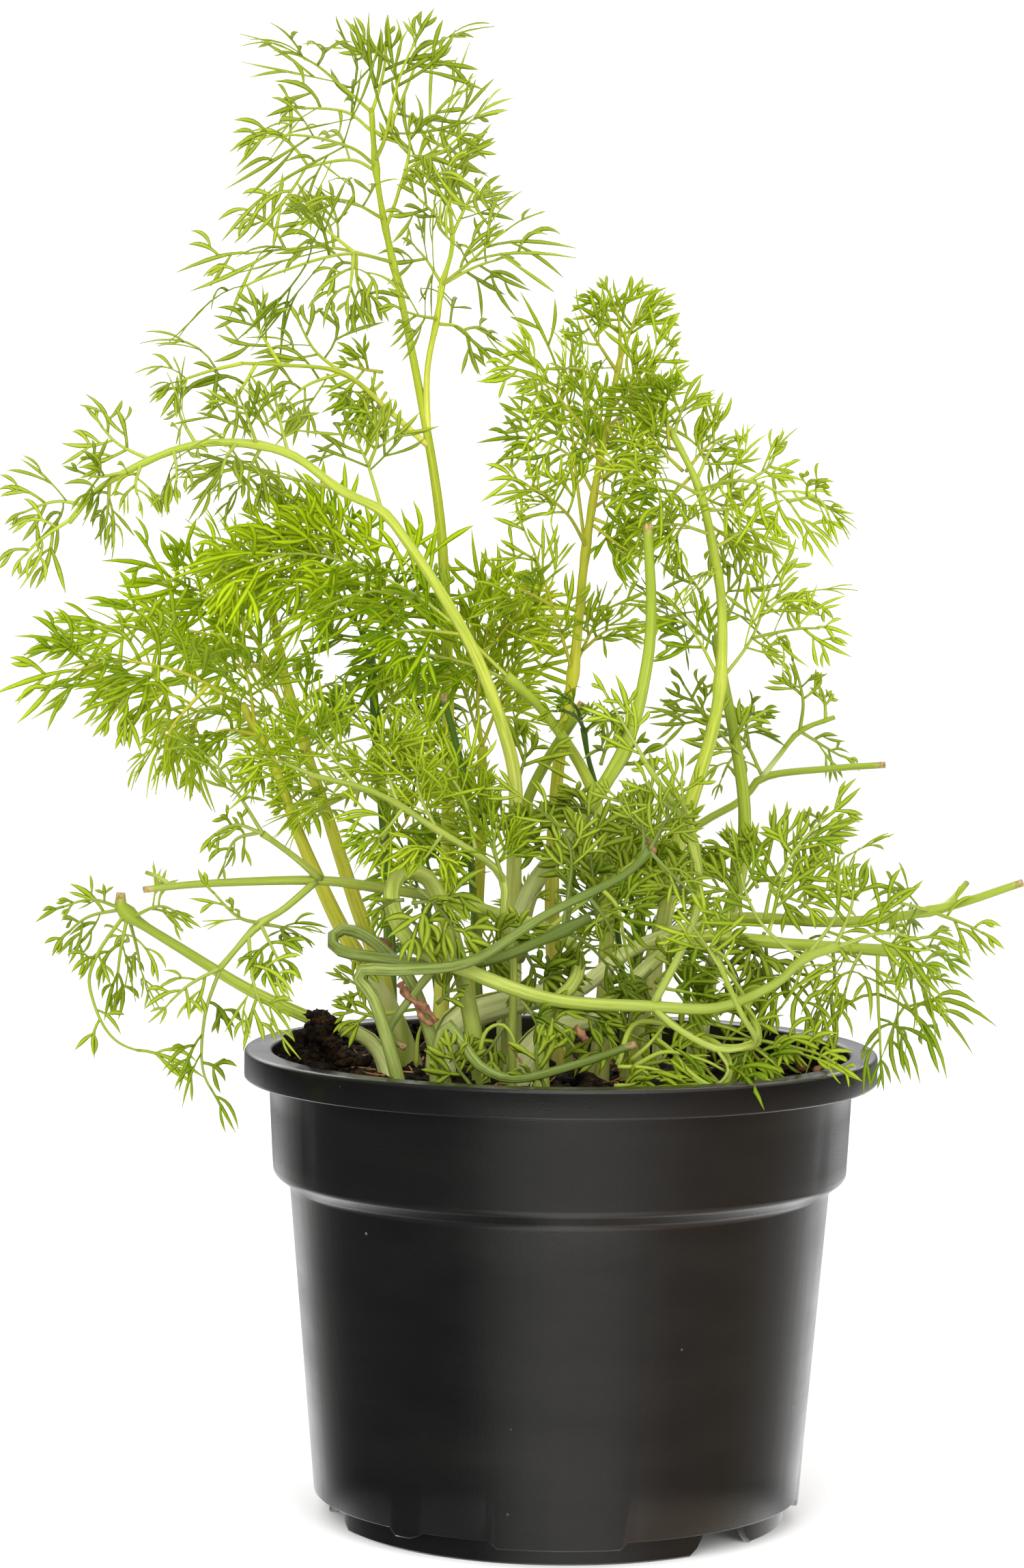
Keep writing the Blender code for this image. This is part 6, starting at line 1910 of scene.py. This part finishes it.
def area_light(name, place, power):
    """A square light that faces the plant."""
    data = bpy.data.lights.new(name, "AREA")
    data.shape = "RECTANGLE"
    data.size, data.size_y = LIGHT_SIZE, LIGHT_SIZE
    data.energy = power
    made = in_scene(name, data)
    made.location = place
    made.rotation_euler = (Vector(LIGHT_TARGET) - Vector(place)).to_track_quat("-Z", "Y").to_euler()
    made.visible_glossy = False


def mirrored(tree):
    """What the gloss of the pot mirrors: a softbox behind the camera between dark flags."""
    place = add_node(tree, "SeparateXYZ", {0: add_node(tree, "TexCoord").outputs["Generated"]}).outputs
    ahead = add_node(tree, "Math", {0: place["Y"], 1: -1.0}, operation="MULTIPLY").outputs[0]
    turn = add_node(tree, "Math", {0: place["X"], 1: ahead}, operation="ARCTAN2").outputs[0]
    share = add_node(tree, "MapRange", {"Value": turn, "From Min": -math.pi, "From Max": math.pi})
    stops = [((degrees + 180) / 360, colour) for degrees, colour in GLOSS_STOPS]
    colour = add_ramp(tree, share.outputs["Result"], stops)
    rise = add_node(tree, "MapRange", {"Value": place["Z"], "From Min": -RISE_LIMIT, "From Max": RISE_LIMIT})
    stops = [(level + RISE_LIMIT, brightness) for level, brightness in GLOSS_HEIGHTS]
    height = add_ramp(tree, rise.outputs["Result"], stops)
    strength = add_node(tree, "Math", {0: height, 1: GLOSS_STRENGTH}, operation="MULTIPLY").outputs[0]
    return add_node(tree, "Background", {"Color": colour, "Strength": strength}).outputs[0]


def studio():
    """A white studio: the camera sees white, the gloss its own softbox, and all else gets even light."""
    world = bpy.data.worlds.new("studio")
    bpy.context.scene.world = world
    world.use_nodes = True
    tree = world.node_tree
    even = add_node(tree, "Background", {"Color": EVEN_COLOUR, "Strength": EVEN_STRENGTH})
    seen = add_node(tree, "Background", {"Color": BACKDROP_COLOUR, "Strength": BACKDROP_STRENGTH})
    path = add_node(tree, "LightPath").outputs
    lit = add_node(tree, "MixShader", {0: path["Is Glossy Ray"], 1: even.outputs[0], 2: mirrored(tree)})
    mixed = add_node(tree, "MixShader", {0: path["Is Camera Ray"], 1: lit.outputs[0], 2: seen.outputs[0]})
    tree.links.new(mixed.outputs[0], tree.nodes["World Output"].inputs["Surface"])
    for name, place, power in LIGHTS:
        area_light(name, place, power)
    bpy.context.scene.view_settings.view_transform = "Standard"


# Looks


def make_look(leaf_colour, stem_colour, **traits):
    """A leaf's and a stem's material, and the traits that aren't the usual ones."""
    return {**USUAL_TRAITS, "leaf": GREENS[leaf_colour], "stem": STEMS[stem_colour], **traits}


camera()
floor()
studio()

SHEATH_SKIN = sheath_material()
GREENS = {name: leaf_material("leaf_" + name, *colours) for name, colours in LEAF_COLOURS.items()}
STEMS = {name: stem_material("stem_" + name, *colours) for name, colours in STEM_COLOURS.items()}
LOOKS = {
    "tall": make_look(
        "airy", "ribbed", droop=0.34, dense=0.45, long=1.36, width=1.05, forked=0.2, paired=0.15
    ),
    "arching": make_look("airy", "pale", dense=0.42, long=1.3, forked=0.2, paired=0.15),
    "swept": make_look("deep", "pale", dense=1.1, width=1.1, fill=1.6, forked=0.6),
    "left": make_look("bright", "ochre", dense=1.05, width=1.1, fill=1.7, forked=0.6),
    "left_back": make_look("deep", "ochre", dense=1.15, width=1.1, fill=1.8, forked=0.6),
    "dark": make_look("back", "dark", dense=1.3, fill=2.2),
    "ochre": make_look("bright_painted_lit", "ochre", dense=1.4, fill=2.6),
    "centre": make_look("bright", "ochre", dense=0.82, fill=0.7),
    "right": make_look("bright", "pale", dense=0.76, fill=0.3),
    "green": make_look("middle", "green", dense=0.5, long=1.15, width=1.05, forked=0.3),
    "loop": make_look("middle", "lush", dense=0.7, long=1.1, width=1.1, forked=0.3),
    "hanging": make_look("middle", "pale_painted_lit", droop=0.5, dense=0.34, long=1.45, forked=0.3),
    "mixed": make_look("middle", "green", dense=0.6, long=1.1, width=1.2),
    "feathery": make_look("bright", "lush", dense=1.3, width=0.85, fill=3.0),
    "glaucous": make_look("grey", "glaucous"),
    "lobed": make_look("grey", "glaucous", width=1.55, dense=1.1, fill=0.6),
    "fine": make_look("bright", "green", width=0.7, dense=1.3, fill=2.2, forked=0.8),
}

pot()
soil()
litter()
for frond_name, frond_plan in FRONDS.items():
    frond(frond_name, frond_plan)
undergrowth("undergrowth_dark", LOOKS["lobed"], UNDERGROWTH["grey"], [])
undergrowth("undergrowth_bright", LOOKS["mixed"], UNDERGROWTH["bright"], STRANDS)
undergrowth("undergrowth_fine", LOOKS["fine"], UNDERGROWTH["fine"], [])
undergrowth("undergrowth_thick", LOOKS["centre"], UNDERGROWTH["thick"], [])
undergrowth("undergrowth_left", LOOKS["left"], UNDERGROWTH["left"], [])
undergrowth("undergrowth_back", LOOKS["dark"], UNDERGROWTH["back"], [])
